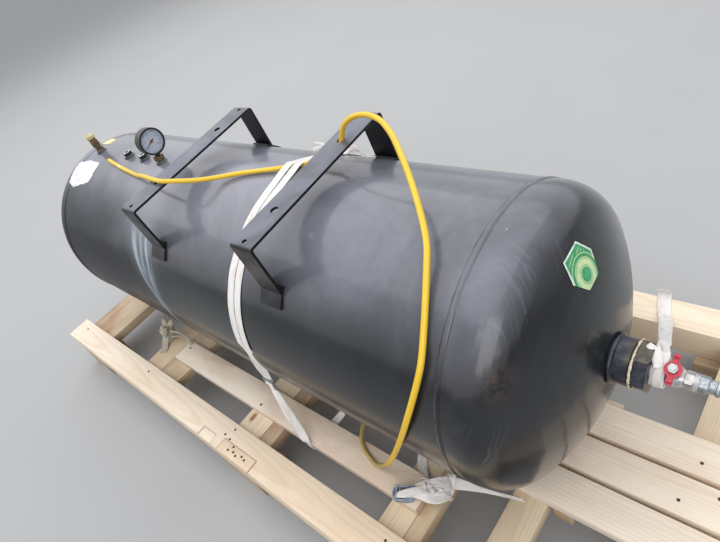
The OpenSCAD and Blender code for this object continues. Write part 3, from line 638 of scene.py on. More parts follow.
def make_tank_paint(name, formed):
    """Charcoal paint, dusty on top, rubbed, scored and a little rusty."""
    g, material = finish(name)
    at = g.place()
    flat, angle = g.use(unroll, Vector=at)
    x, _, z = g.split(at)
    true = g.use(tank_form, Vector=at)[0] if formed else g.facing()
    settled, = g.use(dust, Vector=at, Scale=3.1, Lowest=0.40, Highest=1.02,
                     Normal=true)
    # Painted shade: towards the left head the near side of the wall keeps less
    # of the pale dust tint, and it is duller there.
    on_wall = g.fade(x, LEFT_SEAM - 0.12, LEFT_SEAM - 0.01)
    under = g.fade(angle, 172, 118)
    aside = (g.fade(x, -0.15, -0.5) * g.fade(angle, 4, 46) * under
             * on_wall)
    # Painted shade: the dust tint is cut back on the shaded near side towards
    # the left head.
    settled = settled * g.fade(aside, 0, 1, 1, 0.42)
    low = g.noise(at + (3, 1, 7), 4, 4, 0.55, 0.8)
    tint = g.mix(g.fade(low, 0.36, 0.66), paint(13, 15, 18),
                 paint(27, 30, 36))
    green = g.noise(at + (9, 2, 1), 3, 3, 0.5)
    tint = g.mix(g.fade(green, 0.46, 0.66) * 0.6, tint, paint(24, 34, 33))
    lines, = g.use(rubbed, Vector=flat, Fine=230, Cover=0.5)
    wall = (g.fade(x, LEFT_SEAM, LEFT_SEAM + 0.03)
            * g.fade(x, RIGHT_SEAM, RIGHT_SEAM - 0.03))
    tint = g.mix(lines * wall * 0.2, tint, paint(112, 122, 126))
    tint = g.mix(settled * 0.66, tint, paint(146, 148, 162))
    # A thin dark line along both sides of each girth weld.
    broken = g.fade(g.noise(flat, 21, 3), 0.42, 0.58, 0.1, 0.8)
    for seam in (LEFT_SEAM, RIGHT_SEAM):
        line = g.fade(abs(abs(x - seam) - WELD_HALF), 0.0010, 0.0003)
        tint = g.mix(line * broken, tint, paint(16, 17, 19))
    # A pale rub runs down from beside the left bracket's foot.
    off = ((x - g.fade(angle, 44, 98, -0.236, -0.192))
           / g.fade(angle, 50, 96, 0.044, 0.013))
    strands = g.noise(g.pack(off * 3.4, angle * 0.03), 1, 3, 0.6)
    smear = (g.fade(abs(off), 1.2, 0.7) * g.fade(angle, 34, 56)
             * g.fade(angle, 128, 112) * g.fade(strands, 0.42, 0.6))
    haze = (g.fade(abs(off), 2.4, 0.2) * g.fade(angle, 18, 40)
            * g.fade(angle, 84, 60))
    tint = g.mix(haze * 0.24, tint, paint(150, 166, 172))
    tint = g.mix(smear * 0.72, tint, paint(178, 188, 200))
    # Fine scratches cross the right head.
    head = g.fade(x, RIGHT_SEAM + 0.01, RIGHT_SEAM + 0.06)
    turned_at = g.wire("VectorRotate", {"Vector": at, "Angle": 0.5},
                       rotation_type="X_AXIS")
    hair = g.noise(turned_at * (4, 55, 3))
    hair = (g.fade(abs(hair - 0.5), 0.012, 0.003)
            * g.fade(g.noise(at, 9), 0.46, 0.62))
    tint = g.mix(hair * head * 0.16, tint, paint(128, 133, 144))
    # Rust shows through the paint low on the right head.
    spot = g.vector("DISTANCE", at, RUST_AT)
    grit = g.noise(at, 60, 4, 0.7)
    rust = g.fade(spot + grit * 0.06, 0.085, 0.035) * g.fade(grit, 0.4, 0.62)
    tint = g.mix(rust * 0.5, tint, paint(78, 60, 54))
    for start, end, width, depth, tone in SCORES:
        tint = g.mix(g.scored(at, start, end, width) * depth, tint,
                     paint(*tone))
    distance, rare = g.cells(at, 26, 1)
    speck = g.fade(distance, 0.07, 0.03) * g.math("GREATER_THAN", rare[0],
                                                  0.86)
    tint = g.mix(speck * 0.6, tint, paint(168, 164, 158))
    # Duller low on the wall, most of all towards the left head.
    dull = (under * g.fade(angle, 34, 66) * g.fade(x, 0.1, -0.45, 0.35, 0.85)
            * on_wall)
    dull = g.larger(dull, aside * 0.85)
    shine = 1 - dull * g.fade(x, RIGHT_SEAM + 0.02, RIGHT_SEAM - 0.12)
    # The head is duller at half height.
    band = g.fade(z, 0.54, 0.42) * g.fade(z, 0.31, 0.4) * head
    shine = shine * g.fade(band, 0, 1, 1, 0.72)
    rough = (settled * 0.2 + g.fade(low, 0.3, 0.75, 0.2, 0.3) + smear * 0.25
             + (1 - shine) * 0.34)
    bumps = g.noise(at, 420) * 0.05 + g.noise(at, 6)
    return shade(g, material, Base_Color=tint, Roughness=rough, IOR=1.5,
                 Specular_IOR_Level=0.26, Coat_Weight=shine * 0.6,
                 Coat_Roughness=0.14,
                 Normal=g.relief(bumps, 0.16, 0.004, Normal=true))


def make_bar_paint():
    g, material = finish("black_bar_paint")
    at = g.place()
    settled, = g.use(dust, Vector=at, Scale=9, Lowest=0.55, Highest=1,
                     Normal=g.facing())
    stain, _, _ = g.use(wear, Vector=at, Scale=26)
    tint = g.mix(stain, paint(13, 14, 16), paint(21, 22, 25))
    tint = g.mix(settled * 0.5, tint, paint(140, 144, 160))
    return shade(g, material, Base_Color=tint, Specular_IOR_Level=0.32,
                 Roughness=g.fade(stain, 0, 1, 0.3, 0.42),
                 Normal=g.relief(g.noise(at, 500), 0.08, 0.0006))


def make_outlet_iron():
    """Black iron that has browned where wet ran down under the joint."""
    g, material = finish("outlet_iron")
    at = g.place()
    stain, rub, height = g.use(wear, Vector=at, Scale=60)
    x, _, z = g.split(at)
    up = g.split(g.facing())[2]
    tint = g.mix(stain, paint(36, 38, 46), paint(64, 66, 78))
    olive = (g.fade(up, 0.55, 0.95) * g.fade(height, 0.4, 0.9)
             * g.fade(x, SOCKET_END - 0.014, SOCKET_END - 0.006))
    tint = g.mix(olive * 0.7, tint, paint(98, 88, 58))
    wet = z + g.noise(at * (90, 90, 20), 1, 3) * 0.03
    brown = g.fade(wet, OUTLET_Z + 0.018, OUTLET_Z - 0.012) * 0.7
    tint = g.mix(brown, tint, paint(74, 46, 30))
    return shade(g, material, Base_Color=tint, Metallic=0.4,
                 Roughness=g.fade(rub, 0, 1, 0.28, 0.5),
                 Normal=g.relief(height, 0.3, 0.0005))


# Degrees between strokes, half their width, and where they start.
DIAL_STROKES = ((27, 0.0004, 0.0195), (5.4, 0.0002, 0.0215))
DIAL_SWEEP = 135


def make_dial():
    """Pale dial with printed strokes round its edge."""
    g, material = finish("dial_face")
    _, y, z = g.split(g.place() - tuple(DIAL_AT))
    turn = g.math("DEGREES", g.math("ARCTAN2", y, z))
    r = g.reach(y, z)
    on = g.fade(abs(turn), DIAL_SWEEP + 1.5, DIAL_SWEEP + 0.5)
    tint = g.mix(g.fade(r, 0.016, 0.004), paint(218, 226, 244),
                 paint(236, 222, 224))
    for step, thin, inner in DIAL_STROKES:
        off = g.math("PINGPONG", turn + DIAL_SWEEP, step / 2)
        near = g.math("RADIANS", off) * r
        stroke = (g.fade(near, thin * 1.3, thin * 0.7)
                  * g.fade(r, inner - 0.0002, inner)
                  * g.fade(r, 0.0236, 0.0233))
        tint = g.mix(stroke * on, tint, paint(40, 42, 54))
    return shade(g, material, Base_Color=tint, Roughness=0.5)


def make_pointer():
    """Black pointer, red over a short length beside its hub."""
    g, material = finish("pointer_lacquer")
    off = g.vector("DISTANCE", g.place(), tuple(DIAL_AT))
    band = g.fade(off, 0.0042, 0.0048) * g.fade(off, 0.0112, 0.0106)
    return shade(g, material, Roughness=0.5, Base_Color=g.mix(
        band, paint(38, 36, 42), paint(176, 44, 46)))


def make_plug():
    """Black plug, rubbed bright on what faces up."""
    g, material = finish("blackened_plug")
    stain, rub, height = g.use(wear, Vector=g.place(), Scale=120)
    bare = (g.fade(g.split(g.facing())[2], 0.8, 0.95)
            * g.fade(stain, 0, 1, 0.55, 1))
    return shade(g, material, Metallic=0.4,
                 Base_Color=g.mix(bare, paint(34, 35, 38),
                                  paint(206, 208, 212)),
                 Roughness=g.fade(rub, 0, 1, 0.34, 0.5),
                 Normal=g.relief(height, 0.25, 0.0004))


def make_gauge_case():
    """Black case; its front rim is painted grey, a painted highlight like a
    lit metal bezel.
    """
    g, material = finish("gauge_case_black")
    at = g.place()
    stain, rub, _ = g.use(wear, Vector=at, Scale=130)
    _, y, z = g.split(at - tuple(DIAL_AT))
    # Painted highlight: the front face of the rim is greyed evenly.
    rim = (g.fade(g.split(g.facing())[0], 0.6, 0.9)
           * g.fade(g.reach(y, z), 0.0272, 0.0262))
    tint = g.mix(stain, paint(20, 21, 24), paint(36, 38, 42))
    return shade(g, material,
                 Base_Color=g.mix(rim * 0.7, tint, paint(136, 140, 154)),
                 Roughness=g.fade(rub, 0, 1, 0.36, 0.5))


def make_metal(name, dark, light, stained, rough, metallic, scale):
    """Handled metal, or what else wears like it; colours 0 to 255."""
    g, material = finish(name)
    stain, rub, height = g.use(wear, Vector=g.place(), Scale=scale)
    tint = g.mix(stain, paint(*dark), paint(*light))
    if stained:
        tint = g.mix(rub * 0.5, tint, paint(*stained))
    return shade(g, material, Base_Color=tint, Metallic=metallic,
                 Roughness=g.fade(rub, 0, 1, rough, rough + 0.16),
                 Normal=g.relief(height, 0.25, 0.0004))


def make_wood_finish(name, pale, warm, late):
    g, material = finish(name)
    tint, rough, height = g.use(
        wood, Grain=g.stored("grain"), Board=g.stored("board"),
        Pale=paint(*pale), Warm=paint(*warm), Late=paint(*late))
    return shade(g, material, Base_Color=tint, Roughness=rough,
                 Normal=g.relief(height, 0.35, 0.0008))


def make_webbing(name, soil, clean, soiled):
    g, material = finish(name)
    dirty, yarn, height = g.use(weave, UV=g.own_uv(), Soil=soil)
    tint = g.mix(dirty, paint(*clean), paint(*soiled))
    # Painted shade: slightly darker in the hollows between the crossing yarns.
    tint = g.mix(g.fade(yarn, 0, 1, 0.25, 0), tint,
                 g.mix(1, tint, paint(190, 184, 176), "MULTIPLY"))
    return shade(g, material, Base_Color=tint, Roughness=0.82,
                 Sheen_Weight=0.25, Normal=g.relief(height, 0.4, 0.0003))


def make_hose_plastic():
    """Yellow plastic, dull where the hose lies low, pale at its kink."""
    g, material = finish("yellow_hose_plastic")
    uv = g.own_uv()
    run = g.split(uv)[1]
    streak = g.noise(uv * (500, 7, 1), 1, 3)
    patch = g.noise(uv * (60, 9, 1), 1, 3)
    tint = g.mix(g.fade(streak, 0.35, 0.7), paint(224, 180, 30),
                 paint(236, 198, 62))
    tint = g.mix(g.fade(patch, 0.5, 0.8) * 0.25, tint, paint(196, 148, 40))
    tint = g.mix(g.fade(run, 1.72, 1.82) * 0.85, tint, paint(166, 146, 96))
    kink = g.fade(abs(run - 0.085), 0.012, 0.003) * g.fade(patch, 0.35, 0.6)
    tint = g.mix(kink, tint, paint(224, 216, 176))
    return shade(g, material, Base_Color=tint,
                 Roughness=g.fade(streak, 0.3, 0.8, 0.34, 0.48),
                 Normal=g.relief(streak, 0.1, 0.0003))


def make_window():
    g, material = finish("gauge_window")
    smudge = g.noise(g.place(), 160, 3)
    return shade(g, material, Base_Color=(0.95, 0.97, 1, 1), Metallic=0,
                 Transmission_Weight=1, IOR=1.45,
                 Roughness=g.fade(smudge, 0.5, 0.8, 0.02, 0.12))


def make_paper(name, base, smudge, scale):
    """A plain label: creased paper with smudges."""
    g, material = finish(name)
    at = g.place()
    tint = g.mix(g.fade(g.noise(at, scale, 4, 0.65), 0.42, 0.7),
                 paint(*base), paint(*smudge))
    crease = g.noise(at, scale * 3, 4, 0.7)
    return shade(g, material, Base_Color=tint, Roughness=0.55,
                 Normal=g.relief(crease, 0.5, 0.0015))


DISC_AT = (RIGHT_SEAM + 0.111, TANK_Y + 0.004, AXIS_Z + 0.165)
BARS_AT = (RIGHT_SEAM + 0.095, TANK_Y + 0.012, AXIS_Z + 0.190)
BARS_DOWN = (0.42, 0.28, -0.86)
BAR_PITCH = 0.0026


def make_green_label():
    """White edge, green field, a pale ring with a green disc, pale bars."""
    g, material = finish("green_label")
    at = g.place()
    r = g.vector("LENGTH", g.stored("sheet"))
    grime = g.noise(at, 70, 4, 0.65)
    dirt = g.fade(grime, 0.4, 0.7)
    white = g.mix(g.fade(grime, 0.45, 0.7), paint(222, 230, 222),
                  paint(176, 196, 176))
    green = g.mix(dirt, paint(50, 138, 88), paint(82, 164, 118))
    pale = g.mix(dirt, paint(196, 216, 164), paint(164, 196, 146))
    tint = g.mix(g.fade(r, 0.93, 0.9), white, green)
    off = g.vector("DISTANCE", at, DISC_AT)
    for k, far in enumerate((0.0300, 0.0288, 0.0240, 0.0226, 0.0216, 0.0136,
                             0.0126, 0.0112)):
        tint = g.mix(g.fade(off, far + 0.0003, far - 0.0003), tint,
                     (pale, green)[k % 2])
    down = g.vector("DOT_PRODUCT", at - BARS_AT, BARS_DOWN)
    beyond = g.fade(off, 0.0315, 0.0325) * g.fade(r, 0.8, 0.76)
    lines = g.fade(g.math("PINGPONG", down, BAR_PITCH), 0.0017, 0.0021)
    tint = g.mix(lines * beyond * 0.8, tint, pale)
    return shade(g, material, Base_Color=tint, Roughness=0.45)


tank_paint = make_tank_paint("charcoal_tank_paint", True)
weld_paint = make_tank_paint("charcoal_weld_paint", False)
bar_paint = make_bar_paint()
plug_black = make_plug()
brass = make_metal("tarnished_brass", (84, 68, 52), (142, 120, 88),
                   (66, 52, 42), 0.42, 0.7, 160)
black_iron = make_outlet_iron()
nickel = make_metal("dull_nickel", (172, 172, 172), (208, 208, 210),
                    (146, 138, 128), 0.3, 0.8, 110)
galvanised = make_metal("galvanised_steel", (142, 148, 154),
                        (186, 190, 194), (112, 116, 120), 0.4, 0.9, 240)
painted_zinc = make_metal("tensioner_steel", (126, 138, 152),
                          (166, 176, 188), (92, 100, 108), 0.36, 0.25, 160)
bright_nut = make_metal("bright_nut", (148, 150, 152), (190, 192, 194),
                        (110, 108, 104), 0.3, 0.85, 200)
handle_red = make_metal("red_lacquer", (176, 26, 48), (200, 46, 68),
                        (220, 128, 136), 0.36, 0, 150)
cap_plastic = make_metal("pale_cap", (176, 164, 118), (206, 196, 150),
                         (120, 104, 70), 0.6, 0, 140)
gauge_plastic = make_gauge_case()
dial_white = make_dial()
pointer_black = make_pointer()
nail_steel = make_metal("nail_head", (46, 38, 34), (78, 66, 56),
                        (70, 46, 32), 0.6, 0.2, 300)
sealant = make_metal("cream_sealant", (206, 190, 158), (228, 216, 190),
                     (170, 146, 112), 0.7, 0, 200)
print_ink = make_metal("dial_ink", (36, 38, 48), (52, 54, 64), None, 0.6, 0,
                       120)
WOODS = {
    "wood_pale": make_wood_finish("spruce_board", (240, 229, 214),
                                  (232, 216, 196), (208, 182, 152)),
    "wood_mid": make_wood_finish("spruce_timber", (236, 223, 204),
                                 (227, 207, 180), (202, 173, 138)),
    "wood_dark": make_wood_finish("spruce_bearer", (216, 201, 176),
                                  (202, 181, 150), (176, 147, 112))}
webbing = make_webbing("white_webbing", 0.3, (234, 230, 226),
                       (196, 184, 172))
soiled_webbing = make_webbing("soiled_webbing", 0.7, (214, 208, 194),
                              (166, 158, 140))
window = make_window()
label_green = make_green_label()
label_white = make_paper("white_label", (236, 236, 240), (188, 190, 198), 55)
label_yellow = make_paper("yellow_label", (232, 214, 152), (214, 188, 112),
                          60)

for finish_of, nodes in (
        (tank_paint, "tank_shell left_head right_head"),
        (weld_paint, "girth_welds crown_bosses"),
        (bar_paint, "bracket_left bracket_right bracket_pads"),
        (brass, "relief_valve_foot relief_valve_body gauge_adapter"),
        (cap_plastic, "relief_valve_cap"), (plug_black, "crown_plugs"),
        (gauge_plastic, "gauge_case"), (dial_white, "gauge_dial"),
        (pointer_black, "gauge_pointer"), (window, "gauge_glass"),
        (black_iron, "outlet_socket outlet_reducer"),
        (nickel, "valve_body valve_end valve_collar valve_spindle"),
        (handle_red, "valve_handle"), (bright_nut, "handle_nut"),
        (galvanised, "hose_coupling strap_buckle ratchet_frame")):
    for node in nodes.split():
        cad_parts[node].material_slots[0].material = finish_of

dress(hose, make_hose_plastic(), replaces=["yellow_hose"])


# Skid: sawn boards with eased edges.

def cut_slots(o, slots):
    """Cuts narrow slots into a board, each given by two corners."""
    for low, high in slots:
        tool = block("slot_tool", low, high)
        cut = o.modifiers.new("slot", "BOOLEAN")
        cut.object = tool
        apply_all(o)
        pick(tool)
        bpy.ops.object.delete()


def plank(dice, low, high, along, tone, damp, slots=()):
    """One sawn board between two corners; along is its grain, 0 X or 1 Y."""
    low, high = Vector(low), Vector(high)
    middle = (low + high) / 2
    o = block("plank", low, high)
    edit(o, "EDGE", "SELECT")
    bpy.ops.mesh.bevel(offset=0.0014 + 0.0006 * dice.random(), segments=2,
                       affect="EDGES")
    span = high[along] - low[along]
    choose(o, lambda e: abs((e.verts[0].co - e.verts[1].co)[along])
           > 0.8 * span, "edges")
    bpy.ops.mesh.subdivide(number_cuts=max(2, int(span / 0.07)))
    leave()
    across = 1 - along
    seed = Vector([dice.uniform(0, 50) for _ in range(3)])
    for v in o.data.vertices:
        v.co[across] += 0.0004 * noise.noise(v.co * 5 + seed)
        if v.co.z > middle.z:
            v.co.z -= 0.0008 * abs(noise.noise(v.co * 7 - seed))
    cut_slots(o, slots)
    start = dice.uniform(0, 40)
    aside = dice.uniform(-0.05, 0.05)
    deep = dice.uniform(0.02, 0.07) * dice.choice((-1, 1))
    grain = o.data.attributes.new("grain", "FLOAT_VECTOR", "POINT")
    for i, v in enumerate(o.data.vertices):
        grain.data[i].vector = (v.co[along] + start,
                                v.co[across] - middle[across] + aside,
                                v.co.z - middle.z + deep)
    board = o.data.attributes.new("board", "FLOAT_VECTOR", "CORNER")
    tone *= dice.uniform(0.95, 1.04)
    for face in o.data.polygons:
        end = 1.0 if abs(face.normal[along]) > 0.7 else 0.0
        for corner in face.loop_indices:
            board.data[corner].vector = (tone, damp, end)
    return o


def lay_boards(name, node, slot, boards, seed):
    dice = random.Random(seed)
    o = join(name, [plank(dice, *b) for b in boards])
    smooth(o, 30)
    dress(o, WOODS[slot], replaces=[node])


BOARD_PITCH, BOARD_WIDTH = 0.077, 0.068
BLOCK_HALF = 0.07
SHORT_END = 0.116
# Left, right, near end, far end, tone and damp; None is the full length.
BEARERS = ((-0.900, -0.744, None, None, 0.96, 0.7),
           (-0.505, -0.4255, None, None, 1.1, 0.1),
           (-0.4245, -0.333, None, None, 0.98, 0.5),
           (-0.038, 0.0435, None, None, 1.1, 0.1),
           (0.0445, 0.085, None, None, 0.9, 0.6),
           (0.411, 0.4705, None, None, 1.1, 0.1),
           (0.4715, 0.502, None, None, 1.0, 0.4),
           (0.602, 0.663, None, SHORT_END, 1.05, 0.2),
           (0.672, 0.704, -0.129, SHORT_END, 1.0, 0.1),
           (0.820, 0.910, None, None, 1.03, 0.3))


def build_skid():
    low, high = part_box("side_timber_front")
    near = low[1]
    # Two chips are nailed back on, with the slits round them.
    slots = [((0.1003, near - 0.01, 0.134), (0.1028, -0.355, 0.15)),
             ((-0.1020, near - 0.01, 0.139), (-0.1002, -0.361, 0.15)),
             ((-0.0208, near - 0.01, 0.1368), (0.1006, -0.3553, 0.15)),
             ((-0.1006, near - 0.01, 0.1398), (-0.0494, -0.3612, 0.15)),
             ((0.030, near - 0.01, 0.1110), (0.098, near + 0.004, 0.1136))]
    chips = [((-0.0204, near - 0.0004, 0.137),
              (0.1001, -0.3560, DECK_Z + 0.0002), 0, 1.08, 0.3),
             ((-0.1000, near - 0.0002, 0.140),
              (-0.0500, -0.3618, DECK_Z + 0.0001), 0, 1.08, 0.0)]
    lay_boards("front_timber", "side_timber_front", "wood_mid",
               [(low, high, 0, 1.03, 0.12, slots)] + chips, 11)
    for name, node, slot, tone, damp, seed in (
            ("back_timber", "side_timber_back", "wood_mid", 1.04, 0.05, 12),
            ("front_board", "edge_board_front", "wood_pale", 0.98, 0.35, 13),
            ("back_board", "edge_board_back", "wood_pale", 0.98, 0.2, 14)):
        lay_boards(name, node, slot, [(*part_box(node), 0, tone, damp)], seed)
    low, high = (Vector(c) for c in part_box("deck_boards"))
    deck = []
    for i, (tone, damp) in enumerate(((0.97, 0.1), (1.0, 0.25),
                                      (1.03, 0.15))):
        y = low.y + BOARD_PITCH * i
        deck.append(((low.x, y, low.z), (high.x, y + BOARD_WIDTH, high.z), 0,
                     tone, damp))
    lay_boards("carrying_boards", "deck_boards", "wood_pale", deck, 15)
    low, high = (Vector(c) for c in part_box("cross_bearers"))
    lay_boards("bearers", "cross_bearers", "wood_dark",
               [((x0, -high.y if y0 is None else y0, low.z),
                 (x1, high.y if y1 is None else y1, high.z), 1, tone, damp)
                for x0, x1, y0, y1, tone, damp in BEARERS], 16)
    for k, row in enumerate(("front", "middle", "back")):
        low, high = (Vector(c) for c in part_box("blocks_" + row))
        blocks = [((x - BLOCK_HALF, low.y, low.z),
                   (x + BLOCK_HALF, high.y, high.z), 0, 0.95, 0.6)
                  for x in (low.x + BLOCK_HALF, 0.0, high.x - BLOCK_HALF)]
        lay_boards(row + "_blocks", "blocks_" + row, "wood_dark", blocks,
                   17 + k)


NAIL_R = 0.0028
CHIP_NAILS = [(-0.028, -0.349), (-0.006, -0.352), (0.020, -0.361),
              (0.012, -0.373), (0.030, -0.370), (0.042, -0.374),
              (0.059, -0.367), (0.071, -0.370), (-0.013, -0.328)]


def drive_nails():
    """Nail heads where the boards cross the bearers, as one piece."""
    dice = random.Random(5)

    def astray(by):
        return dice.uniform(-by, by)

    spots = []
    for x0, x1 in ((-0.900, -0.744), (-0.505, -0.333), (-0.038, 0.085),
                   (0.411, 0.502), (0.820, 0.910)):
        for y, x_low, x_high in ((-0.095, -2, 2), (-0.018, -2, 2),
                                 (0.059, -2, 2), (-0.2285, -0.395, 0.474),
                                 (0.2285, -0.395, 0.474)):
            for s in (-1, 1):
                x = (x0 + x1) / 2 + s * (x1 - x0) * 0.27
                if x_low + 0.01 < x < x_high - 0.01:
                    spots.append((x + astray(0.008),
                                  y + s * 0.016 + astray(0.006)))
    spots += CHIP_NAILS
    for x in (-0.86, -0.45, 0.02, 0.45, 0.86):
        for y in ((-0.35, 0.35) if x != 0.02 else (0.35,)):
            spots.append((x + astray(0.03), y + astray(0.02)))
    heads = []
    for x, y in spots:
        o = rod("nail", NAIL_R, 0.004, (x, y, DECK_Z - 0.0013), 12)
        edit(o)
        choose(o, lambda f: f.normal.z > 0.9)
        bpy.ops.mesh.inset(thickness=NAIL_R / 4)
        bpy.ops.transform.translate(value=(0, 0, -0.0004))
        leave()
        heads.append(o)
    nails = join("nail_heads", heads)
    smooth(nails, 50)
    dress(nails, nail_steel)


build_skid()
drive_nails()


# Lashings: flat webbing laid as straps.

STRAP_T = 0.0015
STRAP_X = 148
STRAP_UNDER = DECK_Z * MM - 22 - 1.2
BOARD_EDGE = 261 + 0.95
BUCKLE_X = centre_of("strap_buckle").x * MM
HEX_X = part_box("outlet_reducer")[1][0] * MM
# Where a strap's cross section has its corners, from edge to edge.
STRAP_CUTS = [-1, -0.92, -0.6, -0.2, 0.2, 0.6, 0.92, 1]


def strap(rows, thick, ripple, seed):
    """A strap through rows of place, half width and outward direction."""
    mesh = bmesh.new()
    uv = mesh.loops.layers.uv.new("UVMap")
    rings, marks, run = [], [], 0.0
    for i, (p, half, out) in enumerate(rows):
        if i:
            run += (p - rows[i - 1][0]).length
        wave = ripple * noise.noise(Vector((run * 26, seed, 0.3)))
        top, under = [], []
        for k in STRAP_CUTS:
            body = thick / 2 * (1 - abs(k) ** 8) ** 0.5 if abs(k) < 1 else 0
            curl = ripple * 0.6 * noise.noise(
                Vector((run * 40, seed + k * 1.4, 2.1)))
            middle = p + half * k + out * (wave + curl)
            top.append(mesh.verts.new(middle + out * body))
            under.append(top[-1] if abs(k) == 1 else
                         mesh.verts.new(middle - out * body))
        rings.append(top + under[-2:0:-1])
        marks.append(run)
    across = [(k + 1) * 0.5 for k in STRAP_CUTS]
    across += across[-2:0:-1]
    n = len(across)
    for i in range(len(rings) - 1):
        a, b = rings[i], rings[i + 1]
        width = rows[i][1].length * 2
        for k in range(n):
            m = (k + 1) % n
            u0, u1 = across[k] * width, across[m] * width
            add_face(mesh, uv, (a[k], a[m], b[m], b[k]),
                     ((u0, marks[i]), (u1, marks[i]), (u1, marks[i + 1]),
                      (u0, marks[i + 1])))
    mesh.faces.new(rings[0][::-1])
    mesh.faces.new(rings[-1])
    bmesh.ops.recalc_face_normals(mesh, faces=mesh.faces)
    return from_bmesh("strap", mesh)


def ribbon(knots, steps=6, thick=STRAP_T, ripple=0.0, seed=0.0):
    """A strap through knots: a place and half a width, in millimetres."""
    line = spline([Vector(k[:3]) / 1000 for k in knots], steps)
    wide = spline([Vector(k[3:]) / 1000 for k in knots], steps)
    rows = []
    for i, p in enumerate(line):
        ahead = ahead_at(line, i)
        square = wide[i] - ahead * wide[i].dot(ahead)
        square = square.normalized() * wide[i].length
        rows.append((p, square, ahead.cross(square).normalized()))
    return strap(rows, thick, ripple, seed)


def turned(width, degrees, side=1):
    """Half a width along X, turned towards Y by some degrees."""
    t = math.radians(degrees)
    return width * math.cos(t), side * width * math.sin(t), 0


def strand(side):
    """One of the two strands, from the buckle over the tank to the skid."""
    def across(a):
        return STRAP_X + side * 10.4 - 18 * min(max(a - 30, 0) / 60, 1.15)

    foot = BUCKLE_X + side * 6.2
    top = across(84)
    knots = [(foot, y, z, *turned(width, angle, side))
             for y, z, width, angle in (
                 (-229.3, 282.4, 5.6, 0), (-233.4, 283.4, 5.6, 0),
                 (-236.4, 286.0, 5.7, 0), (-236.4, 290.0, 5.7, 0),
                 (-233.4, 293.2, 5.7, 0), (-229.3, 297.0, 5.8, 0),
                 (-229.3, 301.5, 6.0, 6))]
    knots.append((foot + side * 0.6, -231.4, 307, *turned(6.6, 20, side)))
    for t, width, angle in ((0.14, 7.8, 36), (0.32, 9.2, 42), (0.5, 9.8, 38),
                            (0.68, 9.8, 27), (0.84, 9.8, 14)):
        knots.append((foot + (top - foot) * t, -231.8 - 2.4 * t,
                      306 + 116 * t, *turned(width, angle, side)))
    # Close round the wall, and straight where the hose lies under it.
    middle = -6.4 - side
    for k in range(59):
        a = 84 - k * 3
        r = 251.5
        if abs(a - middle) < 18:
            r = min(r / math.cos(math.radians(18 - abs(a - middle))), 263.8)
        place = round_tank(across(a) / MM, a, r / MM) * MM
        knots.append((*place, 9.8, 0, 0))
    x = STRAP_X + side * 10.4
    for y, z in ((266.3, 330), (265, 260), (263.6, 200), (262.4, 158),
                 (BOARD_EDGE, 145), (BOARD_EDGE, 126), (261.2, 121.9),
                 (258, STRAP_UNDER), (240, STRAP_UNDER), (216, STRAP_UNDER)):
        knots.append((x, y, z, 9.8, 0, 0))
    return ribbon(knots, 3, ripple=0.0004, seed=side * 3.1)


def hang_tail():
    """The loose end below the buckle, over the outer board's edge."""
    x = BUCKLE_X + 4
    edge = STRAP_X + 33
    return ribbon([
        (x - 3, -231.6, 281.4, 8.5, 0, 0), (x - 3, -236.3, 279.2, 8.5, 0, 0),
        (x - 2, -236.4, 274.4, 8.2, 0, 0), (x, -236.6, 268, 7.2, 3, 0),
        (x + 8, -240, 248, 5.0, 6, 0), (x + 24, -248, 218, 4, 8.4, 0),
        (x + 40, -255, 188, 4.6, 8.6, 0), (edge - 12, -258.6, 165, 7, 7, 0),
        (edge - 2, -BOARD_EDGE - 0.6, 149, 9.4, 3.4, 0),
        (edge, -BOARD_EDGE, 138, 10, 0, 0),
        (edge, -BOARD_EDGE, 126, 10, 0, 0), (edge, -261.2, 121.9, 10, 0, 0),
        (edge + 0.4, -258, STRAP_UNDER, 10, 0, 0),
        (edge + 2, -230, STRAP_UNDER, 10, 0, 0),
        (edge + 5, -198, STRAP_UNDER, 10, 0.4, 0),
        (edge + 9, -176, 124, 10, 1, 0), (edge + 13, -160, 129, 9.5, 2, 1)],
        5, ripple=0.0007, seed=8.0)


def crumple(middle, size, half, turns, dice):
    """Webbing pulled into a tight knot about a place, in millimetres."""
    knots = []
    for k in range(turns):
        t = math.tau * k / 12
        p = Vector((math.sin(t) + 2 * math.sin(2 * t),
                    math.cos(t) - 2 * math.cos(2 * t),
                    -1.5 * math.sin(3 * t)))
        p = Vector([a * b for a, b in zip(p, size)])
        p *= dice.uniform(0.85, 1.12)
        out = Vector((p.y, -p.x, dice.uniform(-4, 14))).normalized()
        knots.append((*(Vector(middle) + p), *(out * half)))
    return ribbon(knots, 5, STRAP_T, 0.0012, dice.uniform(0, 20))


def fray(root, aim, half, dice, count, length):
    """Loose yarns that stand out of a cut end, in millimetres."""
    yarns = []
    root, aim, half = Vector(root), Vector(aim).normalized(), Vector(half)
    flat = half.normalized()
    for k in range(count):
        s = (k + 0.5) / count * 2 - 1
        side = flat * s * 2.4 + Vector(
            [dice.uniform(-1.6, 1.6) for _ in range(3)])
        reach = length * dice.uniform(0.5, 1.1)
        a = root + half * s * 0.92
        knots = [(*(a + away), *(flat * width)) for away, width in (
            (aim * -2, 0.9), (aim * reach * 0.4 + side * 0.3, 0.7),
            (aim * reach + side, 0.35))]
        yarns.append(ribbon(knots, 4, 0.0006))
    return yarns


